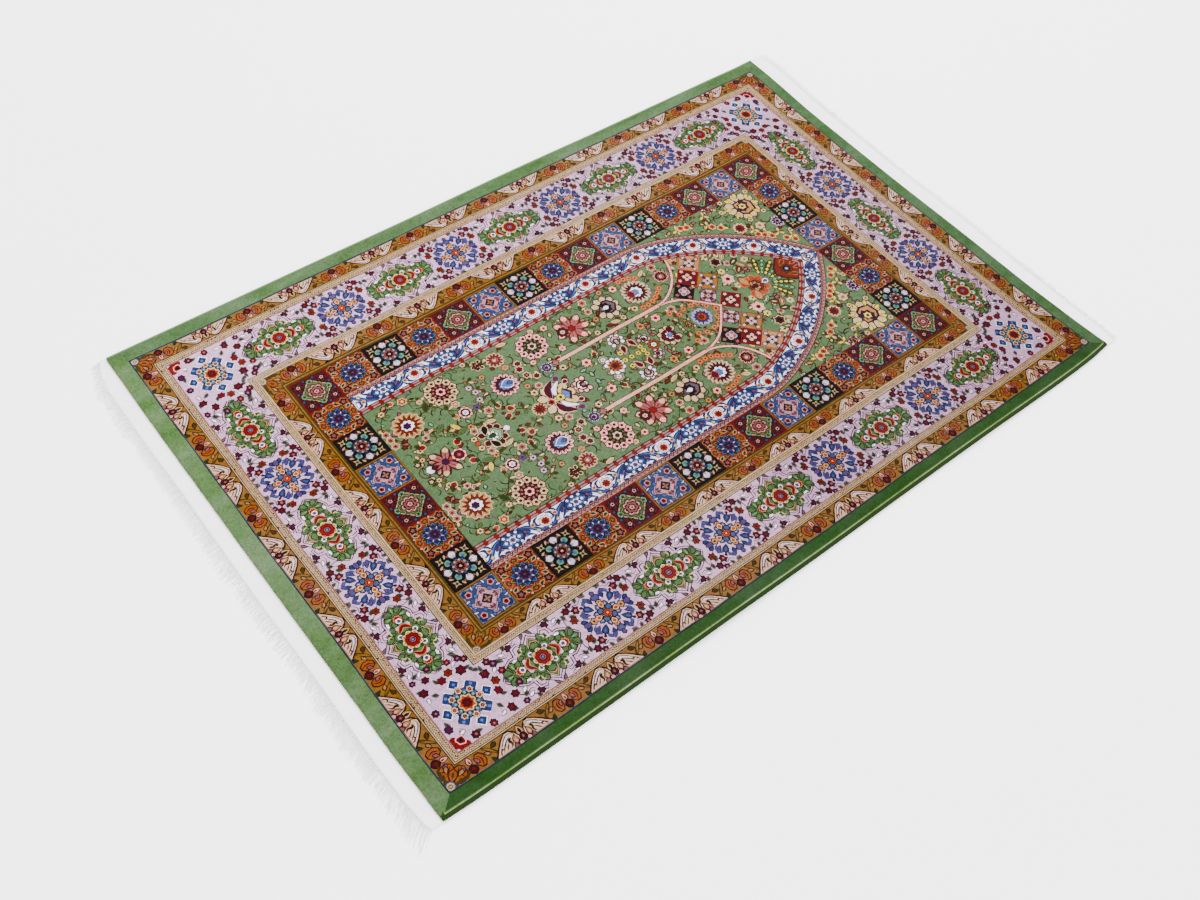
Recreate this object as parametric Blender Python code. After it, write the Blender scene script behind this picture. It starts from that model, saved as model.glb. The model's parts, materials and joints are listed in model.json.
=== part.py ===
"""Prayer rug lying flat: a pile panel, overcast sides, white woven ends and two fringes.

Frame: metres, +Z up, the floor at Z = 0. +Y points to the head of the rug, where its arch
points, and +X to the right-hand side. The origin is the middle of the pile's underside.
"""
import math
import random
from collections import namedtuple

import bmesh
import bpy

# Driving sizes
RUG_WIDTH = 0.800
RUG_LENGTH = 1.200
PILE_THICKNESS = 0.0060
PILE_EDGE_ROUND = 0.0012
SIDE_CORD_WIDTH = 0.0050
SIDE_CORD_HEIGHT = 0.0062
WEB_THICKNESS = 0.0022
FRINGE_THICKNESS = 0.0016
GAP = 0.0003

# How finely the pieces are divided
PILE_COLUMNS = 16
PILE_ROWS = 32
CORD_ARC_STEPS = 6
WEB_ROWS = 1
FRINGE_TUFTS = 64

# Fringe tufts
TUFT_SHARE_OF_PITCH = 0.86
TUFT_HEADER = 0.0040
TUFT_HEADER_SHARE = 0.4
TUFT_LENGTH_VARIES = 0.16
TUFT_LEAN_VARIES = 0.0018
FRINGE_SEED = 11

# Down a tuft: share of its length, share of its width, and share of its tip's lean.
TuftRow = namedtuple("TuftRow", "down width swing")
TUFT_ROWS = (
    TuftRow(0.0, 1.00, 0.00), TuftRow(0.5, 0.95, 0.35), TuftRow(1.0, 0.62, 1.00),
)

# Colours, linear red, green and blue, with roughness
GREEN_PILE = ((0.085, 0.235, 0.055), 0.75)
GREEN_CORD = ((0.270, 0.420, 0.150), 0.70)
WHITE_WEB = ((0.800, 0.800, 0.800), 0.85)
WHITE_FRINGE = ((0.820, 0.800, 0.805), 0.85)

# How far each edge strays outwards from its straight line, by share of the way along it:
# the long sides from foot to head, the ends from the right-hand side to the left.
Stray = namedtuple("Stray", "along out")
RIGHT_SIDE = (
    Stray(0.00, -0.0010), Stray(0.05, 0.0013), Stray(0.42, 0.0021), Stray(0.67, 0.0002),
    Stray(0.92, 0.0006), Stray(0.97, -0.0012), Stray(1.00, -0.0050),
)
LEFT_SIDE = (
    Stray(0.00, 0.0060), Stray(0.20, 0.0054), Stray(0.55, 0.0040), Stray(0.92, 0.0036),
    Stray(1.00, 0.0022),
)
FOOT_END = (
    Stray(0.00, 0.0005), Stray(0.13, 0.0022), Stray(0.25, 0.0017), Stray(0.75, 0.0021),
    Stray(1.00, 0.0003),
)
HEAD_END = (
    Stray(0.00, 0.0030), Stray(0.04, -0.0002), Stray(0.20, -0.0038), Stray(0.50, -0.0054),
    Stray(0.75, -0.0043), Stray(1.00, 0.0011),
)

# The white ends, by share of the way from the right-hand side to the left: how deep the
# woven web is, how long the fringe below it is, and how far its tips lean towards +X.
EndForm = namedtuple("EndForm", "along web fringe lean")
FOOT_FORM = (
    EndForm(0.00, 0.0150, 0.0270, 0.0190), EndForm(0.02, 0.0190, 0.0240, 0.0170),
    EndForm(0.06, 0.0210, 0.0210, 0.0110), EndForm(0.16, 0.0215, 0.0210, 0.0070),
    EndForm(0.30, 0.0210, 0.0190, 0.0055), EndForm(0.45, 0.0215, 0.0190, 0.0060),
    EndForm(0.58, 0.0210, 0.0215, 0.0040), EndForm(0.68, 0.0205, 0.0165, 0.0030),
    EndForm(0.80, 0.0215, 0.0180, 0.0010), EndForm(0.93, 0.0220, 0.0170, 0.0000),
    EndForm(0.97, 0.0185, 0.0085, 0.0000), EndForm(1.00, 0.0090, 0.0060, 0.0000),
)
HEAD_FORM = (
    EndForm(0.00, 0.0190, 0.0090, -0.0010), EndForm(0.04, 0.0240, 0.0100, 0.0000),
    EndForm(0.20, 0.0265, 0.0115, 0.0005), EndForm(0.50, 0.0275, 0.0110, 0.0000),
    EndForm(0.80, 0.0280, 0.0125, -0.0005), EndForm(0.97, 0.0290, 0.0130, -0.0010),
    EndForm(1.00, 0.0260, 0.0080, -0.0010),
)

# Low swells where the rug stands a little off the floor: middle, reach and height.
Swell = namedtuple("Swell", "x y reach_x reach_y height")
SWELLS = (
    Swell(0.420, -0.180, 0.110, 0.190, 0.0030),
    Swell(0.430, 0.310, 0.090, 0.150, 0.0026),
    Swell(-0.430, 0.060, 0.090, 0.220, 0.0028),
    Swell(-0.360, 0.640, 0.150, 0.090, 0.0036),
    Swell(0.080, 0.640, 0.170, 0.080, 0.0024),
    Swell(-0.180, -0.640, 0.160, 0.085, 0.0026),
    Swell(0.240, -0.645, 0.110, 0.080, 0.0020),
)


def eased(rows, along, column):
    """Read a column of a table at a share of the way along it, easing between its rows."""
    for here, beyond in zip(rows, rows[1:]):
        if along <= beyond.along:
            share = (along - here.along) / (beyond.along - here.along)
            share = max(0.0, share)
            share = share * share * (3.0 - 2.0 * share)
            start = getattr(here, column)
            return start + share * (getattr(beyond, column) - start)
    return getattr(rows[-1], column)


def lift(x, y):
    """Height of the rug's underside over the floor."""
    height = 0.0
    for swell in SWELLS:
        away = math.hypot((x - swell.x) / swell.reach_x, (y - swell.y) / swell.reach_y)
        if away < 1.0:
            height += swell.height * (1.0 - away * away) ** 2
    return height


def stray(table, along, stations):
    """How far an edge strays, straight between the pile's own stations along that edge."""
    before = min(int(along * stations), stations - 1)
    share = along * stations - before
    start = eased(table, before / stations, "out")
    return start + share * (eased(table, (before + 1) / stations, "out") - start)


def side_x(side, along):
    """X of a long side (+1 right, -1 left) at a share of the way from foot to head."""
    table = RIGHT_SIDE if side > 0 else LEFT_SIDE
    return side * (RUG_WIDTH / 2 + stray(table, along, PILE_ROWS))


def end_y(end, across, beyond=0.0):
    """Y of an end (+1 head, -1 foot) at a share of the way from the right side to the left."""
    table = HEAD_END if end > 0 else FOOT_END
    return end * (RUG_LENGTH / 2 + stray(table, across, PILE_COLUMNS) + beyond)


def panel_point(across, along):
    """Point of the pile panel, inside the side cords, from right to left and foot to head."""
    inset = (SIDE_CORD_WIDTH + GAP) / RUG_WIDTH
    across = min(max(across, inset), 1.0 - inset)
    right = side_x(1, along)
    left = side_x(-1, along)
    foot = end_y(-1, across)
    head = end_y(1, across)
    return right + across * (left - right), foot + along * (head - foot)


def end_point(end, across, beyond):
    """Point past an end of the pile, at a share of the way from the right side to the left."""
    along = 1.0 if end > 0 else 0.0
    right = side_x(1, along)
    left = side_x(-1, along)
    return right + across * (left - right), end_y(end, across, beyond)


def new_material(name, colour_and_roughness):
    """Plain cloth material of one colour."""
    colour, roughness = colour_and_roughness
    material = bpy.data.materials.new(name)
    material.use_nodes = True
    shader = material.node_tree.nodes["Principled BSDF"]
    shader.inputs["Base Color"].default_value = (*colour, 1.0)
    shader.inputs["Roughness"].default_value = roughness
    shader.inputs["Metallic"].default_value = 0.0
    return material


def new_object(name, shape, material, smooth=False):
    """Turn a bmesh into a named object with its material."""
    bmesh.ops.recalc_face_normals(shape, faces=shape.faces)
    mesh = bpy.data.meshes.new(name)
    shape.to_mesh(mesh)
    shape.free()
    mesh.materials.append(material)
    if smooth:
        mesh.shade_smooth()
        mesh.set_sharp_from_angle(angle=math.radians(50.0))
    piece = bpy.data.objects.new(name, mesh)
    bpy.context.scene.collection.objects.link(piece)
    return piece


def thicken(shape, thickness):
    """Close a flat patch into a solid by raising a copy of it, and return the copy's corners."""
    raised = bmesh.ops.extrude_face_region(shape, geom=shape.faces[:])
    corners = [part for part in raised["geom"] if isinstance(part, bmesh.types.BMVert)]
    bmesh.ops.translate(shape, verts=corners, vec=(0.0, 0.0, thickness))
    return corners


def grid_patch(columns, rows, place):
    """Patch of quads whose corners place(across, along) sets, at the underside's height."""
    shape = bmesh.new()
    bmesh.ops.create_grid(shape, x_segments=columns, y_segments=rows, size=0.5)
    for corner in shape.verts:
        x, y = place(corner.co.x + 0.5, corner.co.y + 0.5)
        corner.co = (x, y, lift(x, y))
    return shape


def build_pile():
    """The knotted panel, with its top edge worn round."""
    shape = grid_patch(PILE_COLUMNS, PILE_ROWS, panel_point)
    top = set(thicken(shape, PILE_THICKNESS))
    bmesh.ops.recalc_face_normals(shape, faces=shape.faces)
    rim = []
    for edge in shape.edges:
        on_top = edge.verts[0] in top and edge.verts[1] in top
        if on_top and edge.calc_face_angle() > math.radians(60.0):
            rim.append(edge)
    bmesh.ops.bevel(shape, geom=rim, offset=PILE_EDGE_ROUND, segments=1, affect="EDGES")
    return new_object("pile", shape, new_material("pile", GREEN_PILE))


def build_side_cord(name, side):
    """Overcast cord along a long side: a D-shaped section with its flat against the pile."""
    shape = bmesh.new()
    rings = []
    for section in range(PILE_ROWS + 1):
        along = section / PILE_ROWS
        flat_x = side_x(side, along) - side * SIDE_CORD_WIDTH
        across = 0.0 if side > 0 else 1.0
        foot = end_y(-1, across, -GAP)
        head = end_y(1, across, -GAP)
        y = foot + along * (head - foot)
        base = lift(flat_x, y)
        ring = []
        for step in range(CORD_ARC_STEPS + 1):
            turn = math.pi * (step / CORD_ARC_STEPS - 0.5)
            out = side * SIDE_CORD_WIDTH * math.cos(turn)
            up = SIDE_CORD_HEIGHT / 2 * (1.0 + math.sin(turn))
            ring.append(shape.verts.new((flat_x + out, y, base + up)))
        rings.append(ring)
    count = CORD_ARC_STEPS + 1
    for ring, beyond in zip(rings, rings[1:]):
        for step in range(count):
            following = (step + 1) % count
            shape.faces.new((ring[step], ring[following], beyond[following], beyond[step]))
    shape.faces.new(rings[0])
    shape.faces.new(rings[-1])
    return new_object(name, shape, new_material(name, GREEN_CORD), smooth=True)


def build_web(name, end, form):
    """White woven web past an end of the pile."""

    def place(across, outwards):
        depth = eased(form, across, "web")
        return end_point(end, across, GAP + outwards * (depth - GAP))

    shape = grid_patch(FRINGE_TUFTS, WEB_ROWS, place)
    thicken(shape, WEB_THICKNESS)
    return new_object(name, shape, new_material(name, WHITE_WEB))


def build_fringe(name, end, form):
    """Fringe past a web as one comb: a header strip with a tuft of strands on each pitch."""
    chance = random.Random(FRINGE_SEED + end)
    shape = bmesh.new()

    def corner(across, down, lean=0.0):
        beyond = eased(form, across, "web") + GAP + down
        x, y = end_point(end, across, beyond)
        return shape.verts.new((x + lean, y, lift(x, y)))

    inner = [corner(boundary / FRINGE_TUFTS, 0.0) for boundary in range(FRINGE_TUFTS + 1)]
    root_before = None
    for tuft in range(FRINGE_TUFTS):
        middle = (tuft + 0.5) / FRINGE_TUFTS
        half = 0.5 * TUFT_SHARE_OF_PITCH / FRINGE_TUFTS
        length = eased(form, middle, "fringe")
        header = min(TUFT_HEADER, TUFT_HEADER_SHARE * length)
        length *= 1.0 + chance.uniform(-TUFT_LENGTH_VARIES, TUFT_LENGTH_VARIES)
        lean = eased(form, middle, "lean") + chance.uniform(-TUFT_LEAN_VARIES, TUFT_LEAN_VARIES)
        pairs = [(inner[tuft], inner[tuft + 1])]
        for row in TUFT_ROWS:
            down = header + row.down * (length - header)
            first = corner(middle - half * row.width, down, row.swing * lean)
            second = corner(middle + half * row.width, down, row.swing * lean)
            pairs.append((first, second))
        for (a, b), (c, d) in zip(pairs, pairs[1:]):
            shape.faces.new((a, b, d, c))
        root = pairs[1]
        if root_before:
            shape.faces.new((inner[tuft], root[0], root_before[1]))
        root_before = root
    bmesh.ops.recalc_face_normals(shape, faces=shape.faces)
    thicken(shape, FRINGE_THICKNESS)
    return new_object(name, shape, new_material(name, WHITE_FRINGE))


def main():
    for old in list(bpy.data.objects):
        bpy.data.objects.remove(old, do_unlink=True)
    build_pile()
    build_side_cord("side_cord_right", 1)
    build_side_cord("side_cord_left", -1)
    build_web("web_foot", -1, FOOT_FORM)
    build_web("web_head", 1, HEAD_FORM)
    build_fringe("fringe_foot", -1, FOOT_FORM)
    build_fringe("fringe_head", 1, HEAD_FORM)


main()
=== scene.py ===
"""Prayer rug with a figured silky pile, overcast sides, and white woven ends with fringes.

The figures are drawn in millimetres from the middle of the rug, cut into triangles of one yarn
each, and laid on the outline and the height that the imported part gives. World frame: metres,
+Z up, +Y to the head of the rug, +X to its right-hand side.
"""
import json
import math
import random
from collections import namedtuple
from functools import cache

import bpy
import numpy as np
from bpy.props import FloatProperty, FloatVectorProperty, IntProperty, PointerProperty
from bpy.types import Operator, Panel, PropertyGroup
from mathutils import Matrix, Vector
from mathutils.bvhtree import BVHTree
from mathutils.geometry import delaunay_2d_cdt

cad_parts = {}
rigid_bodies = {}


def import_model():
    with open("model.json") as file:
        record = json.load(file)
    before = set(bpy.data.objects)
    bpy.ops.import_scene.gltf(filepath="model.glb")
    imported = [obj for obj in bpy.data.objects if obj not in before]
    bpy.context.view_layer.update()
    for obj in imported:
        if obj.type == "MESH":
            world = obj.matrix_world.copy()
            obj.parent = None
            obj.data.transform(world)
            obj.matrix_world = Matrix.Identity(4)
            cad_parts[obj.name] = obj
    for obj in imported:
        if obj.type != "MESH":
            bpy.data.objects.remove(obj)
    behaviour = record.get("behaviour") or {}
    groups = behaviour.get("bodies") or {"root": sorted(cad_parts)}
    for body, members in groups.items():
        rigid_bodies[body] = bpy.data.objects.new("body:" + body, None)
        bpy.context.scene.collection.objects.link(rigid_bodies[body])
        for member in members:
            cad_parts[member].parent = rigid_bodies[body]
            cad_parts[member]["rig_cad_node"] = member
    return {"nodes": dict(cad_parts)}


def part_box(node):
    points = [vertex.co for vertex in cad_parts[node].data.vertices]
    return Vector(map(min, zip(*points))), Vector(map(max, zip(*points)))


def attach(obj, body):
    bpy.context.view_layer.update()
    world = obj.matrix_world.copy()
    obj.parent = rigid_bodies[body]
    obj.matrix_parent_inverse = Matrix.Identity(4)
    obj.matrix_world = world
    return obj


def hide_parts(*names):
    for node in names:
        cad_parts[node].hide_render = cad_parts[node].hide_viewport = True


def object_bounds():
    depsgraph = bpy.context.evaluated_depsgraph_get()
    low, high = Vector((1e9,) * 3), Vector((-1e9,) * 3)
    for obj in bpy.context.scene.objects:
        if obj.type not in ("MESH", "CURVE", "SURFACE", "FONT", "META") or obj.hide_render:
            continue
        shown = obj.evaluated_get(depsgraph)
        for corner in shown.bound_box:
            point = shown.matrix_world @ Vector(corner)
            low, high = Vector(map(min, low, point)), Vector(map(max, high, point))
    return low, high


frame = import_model()
CAD_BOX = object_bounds()

bl_info = {
    "name": "Prayer rug",
    "version": (1, 0, 0),
    "blender": (4, 5, 0),
    "location": "3D View > Sidebar > Rug",
    "description": "Builds a prayer rug with a figured pile on its packed part",
    "category": "Object",
}

MM = 0.001
HALF_WIDTH = 400.0
HALF_LENGTH = 600.0
SQUARE_LENGTH = 57.33
SQUARE_WIDTH = 57.5
STATION = 25.0

# Distances in from the rug's edge, in millimetres
BAND_END = 22.0
GUARD_START = 24.5
GUARD_MIDDLE = 34.5
BORDER_START = 55.0
BORDER_MIDDLE = 93.5
BORDER_END = 132.0
INNER_GUARD_START = 145.0
INNER_GUARD_MIDDLE = 154.5
SQUARES_START = 170.0
INNER_START = 227.4
CORD_INSET = 4.9
STRIP_MIDDLE = 49.9
INNER_STRIP_MIDDLE = 137.0
# How far the pile turns down past its end, as a distance in from the edge
TURNED_DOWN = -4.0
FOLD_INSETS = (-3.0, -2.0, -1.0, -0.4, 0.2, 0.8, 1.5, 6.0)
# How far past the pile's end lies the line between a web's inner edge and its outer edge
WEB_SPLIT = 4.5

# Where the drawn lines lie in the woven rug: drawn and woven distance from the middle
WOVEN_ACROSS = (
    (-410, -410), (-400, -400), (-376, -373), (-353.6, -349.6), (-345, -339), (-268, -259),
    (-255, -248), (-230, -217.5), (-172.6, -162), (172.6, 173.8), (230, 230), (255, 253),
    (268, 265), (345, 343), (353.6, 351), (376, 376.4), (400, 400), (410, 410),
)
WOVEN_ALONG = (
    (-610, -610), (-600, -600), (-576, -575.6), (-553.6, -550), (-545, -540.5), (-468, -463.5),
    (-455, -452), (-430, -425), (-372.6, -369), (-300, -294), (0, 6.5), (300, 304),
    (372.6, 375), (430, 432), (455, 454), (468, 465), (545, 541), (553.6, 552), (576, 577.5),
    (600, 600), (610, 610),
)


def dyed(name, description, shade):
    """Yarn colour property, its default given as a web colour."""
    parts = [int(shade[place:place + 2], 16) / 255 for place in (0, 2, 4)]
    linear = [((part + 0.055) / 1.055) ** 2.4 if part > 0.04 else part / 12.92 for part in parts]
    return FloatVectorProperty(
        name=name, description=description, default=linear, subtype="COLOR", min=0, max=1,
    )


class RUG_PG_yarns(PropertyGroup):
    """Colours of the dyed yarns."""

    # The band is one green yarn laid in four painted nap shades: darkest along the right side,
    # palest at the foot
    band_right: dyed("Band, right", "Green band along the right side, its nap away", "1C3514")
    band_left: dyed("Band, left", "Green band along the left side", "374C2E")
    band_foot: dyed("Band, foot", "Green band along the foot", "3F5533")
    band_head: dyed("Band, head", "Green band along the head", "31472A")
    # Painted highlight: a pale line along the right side's band where the pile rolls over the edge
    # and catches the light
    shine: dyed("Band shine", "Rubbed line along the right side's band", "707F45")
    # The two cords are one yarn in painted shades: dark along the shaded right side, pale along the
    # lit left side
    cord_right: dyed("Cord, right", "Overcast cord along the right side", "15240D")
    cord_left: dyed("Cord, left", "Overcast cord along the left side", "47603E")
    field: dyed("Field green", "Ground of the field", "455A3B")
    leaf: dyed("Leaf green", "Leaves and green medallions", "36502C")
    moss: dyed("Moss green", "Dark leaves", "192C10")
    mint: dyed("Mint", "Pale green petals", "568A63")
    lilac: dyed("Lilac", "Ground of the main border", "AA87A2")
    white: dyed("White", "White petals and the arch's band", "D8CDD8")
    cream: dyed("Cream", "Cream leaves and petals", "B0946C")
    peach: dyed("Peach", "Warm petals and outlines", "956740")
    gold: dyed("Gold", "Ground of the guard borders", "7C5220")
    dusk: dyed("Dusk", "Narrow strips along the arch", "7F5C5E")
    sand: dyed("Sand", "Ground of the dotted strips", "B89A76")
    ivory: dyed("Ivory", "Curled leaves of the guard borders", "D2A48C")
    amber: dyed("Amber", "Lobes of the guard borders' lilies", "8A4212")
    olive: dyed("Olive", "Lines and stems", "372B0A")
    orange: dyed("Orange", "Orange squares and flowers", "8B2B07")
    rust: dyed("Rust", "Rust flowers and lines", "541707")
    red: dyed("Red", "Red flowers", "640708")
    crimson: dyed("Crimson", "Crimson squares", "490713")
    maroon: dyed("Maroon", "Dark red flowers", "310710")
    night: dyed("Night", "Aubergine-black squares", "070707")
    plum: dyed("Plum", "Purple flowers", "27072A")
    violet: dyed("Violet", "Violet petals", "3C2C58")
    blue: dyed("Blue", "Blue vine of the arch's band", "1B2349")
    sky: dyed("Sky", "Pale blue petals", "3A5790")
    slate: dyed("Slate", "Slate blue squares", "313C5F")
    rose: dyed("Rose", "Dusty pink petals", "804241")
    pink: dyed("Pink", "Columns and pale petals", "D68881")
    mauve: dyed("Mauve", "Greyish outlines on the lilac ground", "4C3B48")
    brown: dyed("Brown", "Outlines and vines", "1F0D07")
    butter: dyed("Butter", "Pale yellow petals", "BEA43A")


class RUG_PG_make(PropertyGroup):
    """Sizes of the rug's make."""

    pile_height: FloatProperty(
        name="Pile height", description="Top of the pile over the rug's underside",
        default=0.0060, min=0.003, max=0.012, unit="LENGTH",
    )
    edge_round: FloatProperty(
        name="Edge round", description="Radius to which the pile is worn at the two ends",
        default=0.0015, min=0.0003, max=0.003, unit="LENGTH",
    )
    wander: FloatProperty(
        name="Wander", description="How far the hand-knotted lines wander",
        default=0.0007, min=0.0, max=0.003, unit="LENGTH",
    )
    wrap_pitch: FloatProperty(
        name="Wrap pitch", description="Distance between the wraps of a side cord",
        default=0.0024, min=0.001, max=0.01, unit="LENGTH",
    )
    strands: IntProperty(
        name="Strands", description="Strands in each fringe", default=620, min=50, max=1500,
    )


YARNS = tuple(RUG_PG_yarns.__annotations__)


# ---------------------------------------------------------------- drawing

def turning(shape):
    """Twice a shape's area, positive if its corners run anticlockwise."""
    return sum((a.conjugate() * b).imag for a, b in zip(shape, shape[1:] + shape[:1]))


def shape_area(shape):
    return abs(turning(shape)) / 2


def holds(shape, point):
    """Whether a point lies inside a shape."""
    inside = False
    for a, b in zip(shape, shape[1:] + shape[:1]):
        if (a.imag > point.imag) != (b.imag > point.imag):
            crossing = a.real + (b.real - a.real) * (point.imag - a.imag) / (b.imag - a.imag)
            inside = inside != (point.real < crossing)
    return inside


class Chart:
    """Shapes laid one over another, each in one yarn, all cut to their ground."""

    MERGED = 0.01

    def __init__(self, yarn, ground):
        self.shapes = []
        self.yarns = []
        self.lay(yarn, ground)

    def lay(self, yarn, points):
        """Add a shape, its corners set to run anticlockwise."""
        self.shapes.append(points if turning(points) > 0 else points[::-1])
        self.yarns.append(yarn)

    def cut(self):
        """Patch of triangles, each in the yarn of the topmost shape over it."""
        corners = []
        faces = []
        for shape in self.shapes:
            start = len(corners)
            corners.extend(Vector((point.real, point.imag)) for point in shape)
            faces.append(list(range(start, len(corners))))
        corners, _, triangles, *_, sources = delaunay_2d_cdt(
            corners, [], faces, 1, self.MERGED, True)
        corners = np.array([tuple(corner) for corner in corners])
        triangles = np.array(triangles)
        spilled = self.spilled(corners[triangles], sources)
        numbers = [YARNS.index(yarn) for yarn in self.yarns]
        kept = []
        yarns = []
        for triangle, middle, over in zip(triangles, corners[triangles].mean(axis=1), sources):
            if 0 not in over:
                continue
            top = max(source for source in over
                      if source not in spilled or holds(self.shapes[source], complex(*middle)))
            kept.append(triangle)
            yarns.append(numbers[top])
        return Patch(corners, np.array(kept), np.array(yarns))

    def spilled(self, triangles, sources):
        """Shapes whose triangles cover far more than the shape, as where outlines nearly touch."""
        sides = triangles[:, 1:] - triangles[:, :1]
        areas = np.abs(sides[:, 0, 0] * sides[:, 1, 1] - sides[:, 0, 1] * sides[:, 1, 0]) / 2
        covered = np.zeros(len(self.shapes))
        for area, over in zip(areas, sources):
            for source in over:
                covered[source] += area
        return {number for number, shape in enumerate(self.shapes)
                if number and covered[number] > 1.5 * shape_area(shape) + 3.0}


Patch = namedtuple("Patch", "corners triangles yarns")


def smooth_line(points, steps=4):
    """Points on a smooth curve through the given points."""
    if len(points) < 3:
        return list(points)
    full = [2 * points[0] - points[1], *points, 2 * points[-1] - points[-2]]
    line = []
    for a, b, c, d in zip(full, full[1:], full[2:], full[3:]):
        for step in range(steps):
            t = step / steps
            line.append(0.5 * (2 * b + (c - a) * t + (2 * a - 5 * b + 4 * c - d) * t ** 2
                               + (3 * b - a - 3 * c + d) * t ** 3))
    line.append(points[-1])
    return line


def way(degrees):
    """Unit step in a direction, anticlockwise from +x."""
    return complex(math.cos(math.radians(degrees)), math.sin(math.radians(degrees)))


class Pen:
    """Draws on a chart, in millimetres, from its own place and direction.

    A rim of True is a rim in the pen's edge yarn."""

    RIM = 1.3

    def __init__(self, chart, edge="brown", origin=0j, turn=1 + 0j, flipped=False, bend=None):
        self.chart = chart
        self.edge = edge
        self.origin = origin
        self.turn = turn
        self.flipped = flipped
        self.bend = bend

    def place(self, point):
        point = self.origin + self.turn * (point.conjugate() if self.flipped else point)
        return self.bend(point) if self.bend else point

    def at(self, x=0.0, y=0.0, degrees=0.0, size=1.0, flip=False):
        """Pen moved to a point, then turned, scaled or flipped across its own x axis."""
        step = size * way(degrees)
        step = step.conjugate() if self.flipped else step
        origin = self.origin + self.turn * complex(x, -y if self.flipped else y)
        return Pen(self.chart, self.edge, origin, self.turn * step, self.flipped != flip,
                   self.bend)

    def turns(self, count, first=0.0):
        """Pens turned evenly round this one."""
        return [self.at(degrees=first + 360.0 * number / count) for number in range(count)]

    def mirrored(self, x=0.0, y=0.0):
        """Two pens at (x, y) and (-x, y), the second a mirror image of the first."""
        return [self.at(x, y), self.at(-x, y, 180.0, flip=True)]

    def fourfold(self, x=0.0, y=0.0):
        """Four pens at (+-x, +-y), mirror images of the first."""
        pens = self.mirrored(x, y)
        return pens + [self.at(x, -y, flip=True), self.at(-x, -y, 180.0)]

    def swapped(self, x, y, degrees=0.0):
        """Two pens at (x, y) and (y, x), turned opposite ways."""
        return [self.at(x, y, degrees), self.at(y, x, -degrees)]

    def shape(self, yarn, points):
        self.chart.lay(yarn, [self.place(point) for point in points])

    def box(self, yarn, width, height=None):
        """Rectangle, or a square when no height is given."""
        height = height or width
        self.shape(yarn, [complex(a * width / 2, b * height / 2)
                          for a, b in ((-1, -1), (1, -1), (1, 1), (-1, 1))])

    def disc(self, yarn, radius, rim=None, flat=1.0, sides=8):
        if rim:
            self.disc(self.edge if rim is True else rim, radius + self.RIM, None, flat, sides)
        spots = [way(360.0 * (n + 0.5) / sides) * radius for n in range(sides)]
        self.shape(yarn, [complex(spot.real, spot.imag * flat) for spot in spots])

    def dot(self, x, y, *disc, **form):
        """Disc at a point."""
        self.at(x, y).disc(*disc, **form)

    def eye(self, *rings, sides=8):
        """Discs one in another: yarn and radius of each."""
        for yarn, radius in rings:
            self.disc(yarn, radius, sides=sides)

    def petal(self, yarn, length, width, rim=True, start=0.0, full=0.6, blunt=0.7, steps=4):
        """Petal along the pen's y axis, widest at a share of its length."""
        if rim:
            self.petal(self.edge if rim is True else rim, length + 2 * self.RIM,
                       width + 2 * self.RIM, None, start - self.RIM, full, blunt, steps)
        bow = math.log(0.5) / math.log(full)
        right = [complex(0.0, start)]
        for step in range(1, steps):
            t = step / steps
            half = width / 2 * math.sin(math.pi * t ** bow) ** blunt
            right.append(complex(half, start + length * t))
        right.append(complex(0.0, start + length))
        self.shape(yarn, right + [-point.conjugate() for point in right[-2:0:-1]])

    def leaf(self, x, y, degrees, *petal, **form):
        """Petal from a point, turned."""
        self.at(x, y, degrees).petal(*petal, **form)

    def petals(self, yarn, count, length, width, rim=True, start=0.0, first=0.0, **form):
        """Petals evenly round the pen."""
        for pen in self.turns(count, first):
            pen.petal(yarn, length, width, rim, start, **form)

    def star(self, yarn, outer, inner, points, rim=True, first=0.0):
        """Star or toothed disc."""
        if rim:
            self.star(self.edge if rim is True else rim, outer + 1.3 * self.RIM,
                      inner + self.RIM, points, None, first)
        spots = []
        for number in range(points):
            spots.append(outer * way(first + 90 + 360.0 * number / points))
            spots.append(inner * way(first + 90 + 360.0 * (number + 0.5) / points))
        self.shape(yarn, spots)

    def lobes(self, yarn, radius, count, rim=True, depth=0.12, first=0.0):
        """Scalloped disc."""
        if rim:
            self.lobes(self.edge if rim is True else rim, radius + self.RIM, count, None, depth,
                       first)
        spots = []
        for number in range(4 * count):
            swell = 1.0 - depth + depth * abs(math.cos(math.pi * number / 4)) * 2 - depth
            spots.append(radius * swell * way(first + 90 + 90.0 * number / count))
        self.shape(yarn, spots)

    def stroke(self, yarn, width, *points, rim=None, taper=0.7, full=0.5, steps=3):
        """Brush stroke through points, fullest at a share of its length; taper 0 is even."""
        if rim:
            self.stroke(self.edge if rim is True else rim, width + 2 * self.RIM, *points,
                        taper=taper, full=full, steps=steps)
        line = smooth_line([complex(*point) for point in points], steps)
        if len(line) == 2:
            line = [line[0] + (line[1] - line[0]) * share / 3 for share in range(4)]
        bow = math.log(0.5) / math.log(full)
        sides = ([], [])
        for number, point in enumerate(line):
            ahead = line[min(number + 1, len(line) - 1)] - line[max(number - 1, 0)]
            ahead = ahead / (abs(ahead) or 1.0)
            share = min(max(number / (len(line) - 1), 0.03), 0.97)
            half = width / 2 * math.sin(math.pi * share ** bow) ** taper
            sides[0].append(point + 1j * half * ahead)
            sides[1].append(point - 1j * half * ahead)
        self.shape(yarn, sides[1] + sides[0][::-1])


# ---------------------------------------------------------------- small figures

def small_flower(pen, radius, petals, eye, rim=True):
    """Six-petalled flower."""
    pen.star(petals, radius, radius * 0.72, 6, rim)
    pen.disc(eye, radius * 0.42, sides=5)


def ring_flower(pen, radius, outer, ring, heart, eye):
    """Round flower with a dark ring about a pale heart."""
    pen.lobes(outer, radius, 8, depth=0.1)
    pen.disc(ring, radius * 0.76)
    pen.lobes(heart, radius * 0.46, 6, None)
    pen.disc(eye, radius * 0.22, sides=6)


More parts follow.
